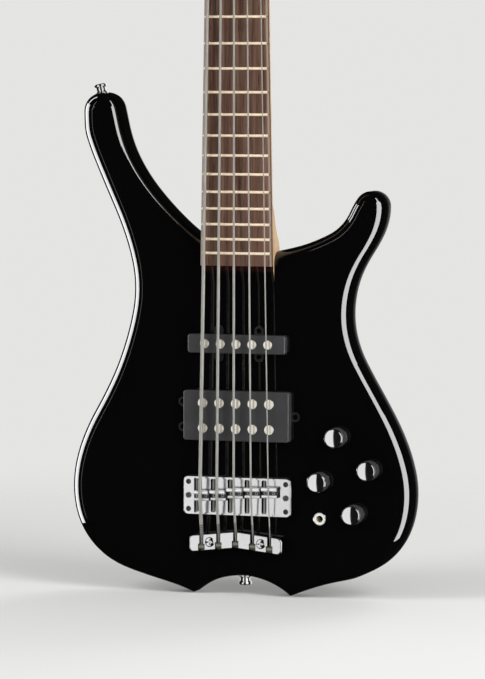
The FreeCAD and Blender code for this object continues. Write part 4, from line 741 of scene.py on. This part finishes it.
def fret_mesh(sizes):
    """Frets at steps of a twelfth root of two, each a bar bent to the board's crown."""
    grove = Grove("frets", Count=sizes.fret_count, Scale=sizes.scale_length, Height=sizes.fret_height,
                  Width=sizes.fret_width, Crown=sizes.board_radius)
    number = grove.node("GeometryNodeInputIndex") + 1.0
    down = (1.0 - 2.0 ** (number * (-1 / 12))) * grove.value("Scale")
    points = grove.node("GeometryNodePoints", sockets={
        "Count": grove.value("Count"), "Position": grove.vector(0.0, 0.0, fret_zero - down)})
    bar = grove.node("GeometryNodeCurvePrimitiveLine", sockets={"Start": (-1, 0, 0), "End": (1, 0, 0)})
    bar = grove.node("GeometryNodeResampleCurve", sockets={"Curve": bar, "Count": 25})
    bars = grove.node("GeometryNodeInstanceOnPoints", sockets={"Points": points, "Instance": bar})
    bars = grove.node("GeometryNodeRealizeInstances", sockets={0: bars})
    across, deep, up = grove.axes(grove.node("GeometryNodeInputPosition"))
    wide = across * (board_half(sizes, up) - FRET_INSET)
    sunk = grove.value("Width") / 2.0 - grove.value("Height")
    deep = wide * wide / (grove.value("Crown") * 2.0) + sunk + board_low.y
    bars = grove.node("GeometryNodeSetPosition", sockets={0: bars, "Position": grove.vector(wide, deep, up)})
    slim = grove.spread(abs(across), 0.90, 1.0, 1.0, 0.45)
    bars = grove.node("GeometryNodeSetCurveRadius", sockets={0: bars, "Radius": slim})
    ring = grove.node("GeometryNodeCurvePrimitiveCircle", sockets={
        "Resolution": 14, "Radius": grove.value("Width") / 2.0})
    tube = grove.node("GeometryNodeCurveToMesh", sockets={
        "Curve": bars, "Profile Curve": ring, "Scale": slim, "Fill Caps": True})
    return grove.grow("frets", bpy.data.meshes.new("frets"), tube, "bronze")


def dot_mesh(sizes):
    """Side dots on the board's bass edge, midway between frets, in pairs at each octave."""
    grove = Grove("side_dots", Diameter=sizes.dot_diameter)
    places = []
    for number in range(3, sizes.fret_count + 1):
        if number % 12 in (3, 5, 7, 9, 0):
            share = (2 ** (-number / 12) + 2 ** (-(number - 1) / 12)) / 2
            middle = fret_zero - (1 - share) * sizes.scale_length
            for step in (-1, 1) if number % 12 == 0 else (0,):
                up = middle + step * 1.4 * sizes.dot_diameter
                places.append((-board_half(sizes, up), board_high.y - DOT_DROP, up))
    mesh = bpy.data.meshes.new("side_dots")
    mesh.from_pydata(places, [], [])
    dot = grove.node("GeometryNodeMeshCylinder", sockets={
        "Vertices": 20, "Side Segments": 1, "Fill Segments": 2,
        "Radius": grove.value("Diameter") / 2.0, "Depth": DOT_THICKNESS})
    dots = grove.node("GeometryNodeInstanceOnPoints", sockets={
        "Points": grove.value("Geometry"), "Instance": dot,
        "Rotation": (0.0, math.pi / 2, 0.0)})
    return grove.grow("side_dots", mesh, dots, "dot")


# Operators
class BassOperator:
    """What every operator here shares."""

    bl_options = {"REGISTER", "UNDO"}

    def execute(self, context):
        self.make(context.scene)
        return {"FINISHED"}


class BASS_OT_body(BassOperator, bpy.types.Operator):
    """Lacquered body with smooth rounded edges"""

    bl_idname = "bass.body"
    bl_label = "Body"

    def make(self, scene):
        dress("body")


class BASS_OT_neck(BassOperator, bpy.types.Operator):
    """Neck, fingerboard, nut and truss rod cover"""

    bl_idname = "bass.neck"
    bl_label = "Neck"

    def make(self, scene):
        for node in ("neck", "fingerboard", "nut", "truss_rod_cover", "headstock_screws"):
            dress(node)
        for node in ("truss_rod", "truss_rod_nut"):
            coat(node)


class BASS_OT_frets(BassOperator, bpy.types.Operator):
    """Frets in their rule of spacing, and the side dots between them"""

    bl_idname = "bass.frets"
    bl_label = "Frets"

    def make(self, scene):
        seat("fret_wires", fret_mesh(scene.bass_sizes), BODY, "bronze", "frets")
        seat("side_dots", dot_mesh(scene.bass_sizes), BODY, "bone")


class BASS_OT_strings(BassOperator, bpy.types.Operator):
    """Wound strings with their ball ends"""

    bl_idname = "bass.strings"
    bl_label = "Strings"

    def make(self, scene):
        for string in STRINGS:
            dress("string_" + string)


class BASS_OT_pickups(BassOperator, bpy.types.Operator):
    """Pickup covers, poles, coils and screws"""

    bl_idname = "bass.pickups"
    bl_label = "Pickups"

    def make(self, scene):
        for node in ("neck_pickup_cover", "bridge_pickup_cover", "neck_pickup_poles", "bridge_pickup_poles"):
            dress(node)
        dress("pickup_screws", "black_steel")
        coat("pickup_coils")


class BASS_OT_bridge(BassOperator, bpy.types.Operator):
    """Bridge frame, saddles, tailpiece and their screws"""

    bl_idname = "bass.bridge"
    bl_label = "Bridge"

    def make(self, scene):
        dress("bridge_frame", "tray")
        dress("tailpiece", "tail")
        for string in STRINGS:
            dress("saddle_" + string, "saddle")
        dress("bridge_screws", "socket")
        dress("intonation_screws", "thread")
        dress("tailpiece_screws", "chrome")


class BASS_OT_knobs(BassOperator, bpy.types.Operator):
    """Domed knobs, each on its own shaft"""

    bl_idname = "bass.knobs"
    bl_label = "Knobs"

    def make(self, scene):
        sizes = scene.bass_sizes
        for knob in KNOBS:
            node = knob + "_knob"
            low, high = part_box(node)
            radius = (high.x - low.x) / 2
            foot = body_front - KNOB_LIFT
            height = foot - low.y
            base = Vector(((low.x + high.x) / 2, foot, (low.z + high.z) / 2))
            mesh = turned(self.profile(sizes, radius, height), base, FORWARD, KNOB_SIDES)
            mesh.materials.append(finish_for("chrome"))
            mesh.materials.append(finish_for("knurl"))
            for face in mesh.polygons:
                face.material_index = abs(face.normal.y) < KNOB_SIDE_SLOPE
            seat(node + "_cap", mesh, node + "_body", "chrome", node)
        coat("potentiometers")
        dress("control_nuts")

    def profile(self, sizes, radius, height):
        """Return radius and height from the foot's middle round to the top's middle."""
        edge = sizes.knob_edge
        rim = height - sizes.knob_dome
        points = [(0, KNOB_HOLLOW), (radius - KNOB_CHAMFER, 0.0),
                  (radius, KNOB_CHAMFER), (radius, rim - edge)]
        for step in range(1, KNOB_EDGE_STEPS + 1):
            turn = math.radians(KNOB_EDGE_TURN * step / KNOB_EDGE_STEPS)
            points.append((radius - edge * (1 - math.cos(turn)), rim - edge * (1 - math.sin(turn))))
        flat = points[-1][0]
        for step in range(1, KNOB_DOME_STEPS + 1):
            share = 1 - step / KNOB_DOME_STEPS
            points.append((flat * share, rim + sizes.knob_dome * (1 - share * share)))
        return points


class BASS_OT_fittings(BassOperator, bpy.types.Operator):
    """Output socket, strap buttons, neck plate and back covers"""

    bl_idname = "bass.fittings"
    bl_label = "Fittings"

    def make(self, scene):
        for node in ("strap_buttons", "strap_button_screws", "neck_plate", "neck_screws",
                     "control_cover", "battery_cover", "cover_screws"):
            dress(node)
        dress("output_jack", "jack")
        for node in ("preamp_board", "battery"):
            coat(node)


class BASS_OT_tuners(BassOperator, bpy.types.Operator):
    """Tuner housings, bushings, posts and keys"""

    bl_idname = "bass.tuners"
    bl_label = "Tuners"

    def make(self, scene):
        for node in ("tuner_housings", "tuner_bushings"):
            dress(node)
        for string in STRINGS:
            dress("tuner_post_" + string)
            dress("tuner_key_" + string)


class BASS_OT_stage(BassOperator, bpy.types.Operator):
    """Pale floor, soft light and camera"""

    bl_idname = "bass.stage"
    bl_label = "Stage"

    def make(self, scene):
        stage = scene.bass_stage
        self.floor(stage)
        self.surround(scene, stage)
        for name, place, level in SOFT_LIGHTS:
            light = self.lamp(name, place, SOFT_WIDTH, SOFT_HEIGHT, getattr(stage, level))
            light.visible_glossy = False
        for name, turn, width, low, high, level, kind in PANELS:
            way = math.radians(turn)
            middle = (low + high) / 2
            place = (PANEL_DISTANCE * math.sin(way), -PANEL_DISTANCE * math.cos(way), middle)
            panel = self.lamp(name, place, width, high - low, getattr(stage, level), (0.0, 0.0, middle))
            panel.visible_diffuse = False
            panel.light_linking.receiver_collection = group(kind)
        card = self.lamp("left_card", LEFT_CARD_PLACE, LEFT_CARD_WIDTH, LEFT_CARD_HEIGHT, stage.card_level,
                         LEFT_CARD_AIM)
        card.light_linking.receiver_collection = group("bright_metal")
        self.camera(scene, stage)
        scene.view_settings.view_transform = "Standard"

    def floor(self, stage):
        """A pale disc that fades out into the background."""
        mesh = bpy.data.meshes.new("floor")
        shape = bmesh.new()
        bmesh.ops.create_circle(shape, cap_ends=True, segments=96, radius=FLOOR_RADIUS)
        level = cad_box[0][2] - FLOOR_GAP
        for corner in shape.verts:
            corner.co.z = level
        shape.to_mesh(mesh)
        shape.free()
        paint = Paint("floor_paper")
        place = paint.place()
        tooth = paint.noise(place, 220.0, 3.0)
        paint.set(Base_Color=paint.blend(tooth, shade(stage.floor, 0.985), stage.floor), Roughness=0.9,
                  Specular_IOR_Level=0.0)
        across, deep = paint.axes(place)[:2]
        far = (across * across + deep * deep) ** 0.5
        clear = paint.node("ShaderNodeBsdfTransparent")
        solid = Term(paint, paint.shader.outputs[0])
        mixed = paint.node("ShaderNodeMixShader", sockets={
            0: paint.spread(far, *FLOOR_FADE), 1: solid, 2: clear})
        paint.tree.links.new(mixed.socket, paint.tree.nodes["Material Output"].inputs[0])
        mesh.materials.append(paint.material)
        floor = linked("floor", mesh)
        floor.visible_glossy = False
        floor.visible_shadow = False

    def surround(self, scene, stage):
        """Pale background, with a dim room on the camera's side for what is seen in gloss."""
        world = bpy.data.worlds.new("studio")
        world.use_nodes = True
        scene.world = world
        room = Finish(world.node_tree)
        path = room.node("ShaderNodeLightPath").socket.node
        camera, glossy, through = (Term(room, path.outputs[key]) for key in (
            "Is Camera Ray", "Is Glossy Ray", "Is Transmission Ray"))
        way = room.node("ShaderNodeTexCoord", out="Generated")
        deep = room.axes(way)[1]
        behind = room.spread(deep, 0.955, 0.99, 0.01, 1.0)
        seen = camera + (glossy + through) * behind
        plain = 1 - (camera + glossy + through)
        pale = room.blend(seen, (0, 0, 0), stage.backdrop)
        soft = room.blend(plain * stage.ambient, (0, 0, 0), (1, 1, 1))
        both = room.node("ShaderNodeMix", {"data_type": "RGBA", "blend_type": "ADD"},
                         {0: 1.0, 6: pale, 7: soft}, out=2)
        background = world.node_tree.nodes["Background"]
        room.fill(background.inputs["Color"], both)

    def lamp(self, name, place, width, height, level, aim=(0.0, 0.0, 0.3)):
        """Add a soft light whose face is as bright as its level, unseen by the camera."""
        light = bpy.data.lights.new(name, "AREA")
        light.shape = "RECTANGLE"
        light.size = width
        light.size_y = height
        light.energy = level * math.pi * width * height
        lamp = linked(name, light)
        lamp.location = place
        lamp.rotation_euler = (Vector(aim) - Vector(place)).to_track_quat("-Z", "Y").to_euler()
        lamp.visible_camera = False
        return lamp

    def camera(self, scene, stage):
        lens = bpy.data.cameras.new("camera")
        lens.sensor_fit = "VERTICAL"
        lens.sensor_height = SENSOR_HEIGHT
        lens.lens = stage.focal_pixels * SENSOR_HEIGHT / IMAGE_HEIGHT
        lens.clip_end = 50.0
        camera = linked("camera", lens)
        flat = math.cos(stage.pitch)
        back = Vector((math.sin(stage.azimuth) * flat,
                       -math.cos(stage.azimuth) * flat,
                       math.sin(stage.pitch)))
        camera.location = Vector(stage.aim) + back * stage.distance
        camera.rotation_euler = (-back).to_track_quat("-Z", "Y").to_euler()
        scene.camera = camera


OPERATORS = (BASS_OT_body, BASS_OT_neck, BASS_OT_frets, BASS_OT_strings, BASS_OT_pickups, BASS_OT_bridge,
             BASS_OT_knobs, BASS_OT_fittings, BASS_OT_tuners, BASS_OT_stage)


class VIEW3D_PT_bass(bpy.types.Panel):
    """Lists the pieces of the bass guitar"""

    bl_label = "Bass guitar"
    bl_space_type = "VIEW_3D"
    bl_region_type = "UI"
    bl_category = "Bass"

    def draw(self, context):
        scene = context.scene
        for settings in (scene.bass_sizes, scene.bass_colours, scene.bass_stage):
            box = self.layout.box()
            for key in settings.__annotations__:
                box.prop(settings, key)
        for operator in OPERATORS:
            self.layout.operator(operator.bl_idname)


CLASSES = (BassSizes, BassColours, BassStage, *OPERATORS, VIEW3D_PT_bass)


def register():
    for each in CLASSES:
        bpy.utils.register_class(each)
    bpy.types.Scene.bass_sizes = bpy.props.PointerProperty(type=BassSizes)
    bpy.types.Scene.bass_colours = bpy.props.PointerProperty(type=BassColours)
    bpy.types.Scene.bass_stage = bpy.props.PointerProperty(type=BassStage)


def unregister():
    del bpy.types.Scene.bass_stage
    del bpy.types.Scene.bass_colours
    del bpy.types.Scene.bass_sizes
    for each in reversed(CLASSES):
        bpy.utils.unregister_class(each)


def main():
    register()
    for operator in OPERATORS:
        family, name = operator.bl_idname.split(".")
        getattr(getattr(bpy.ops, family), name)()


if __name__ == "__main__":
    main()
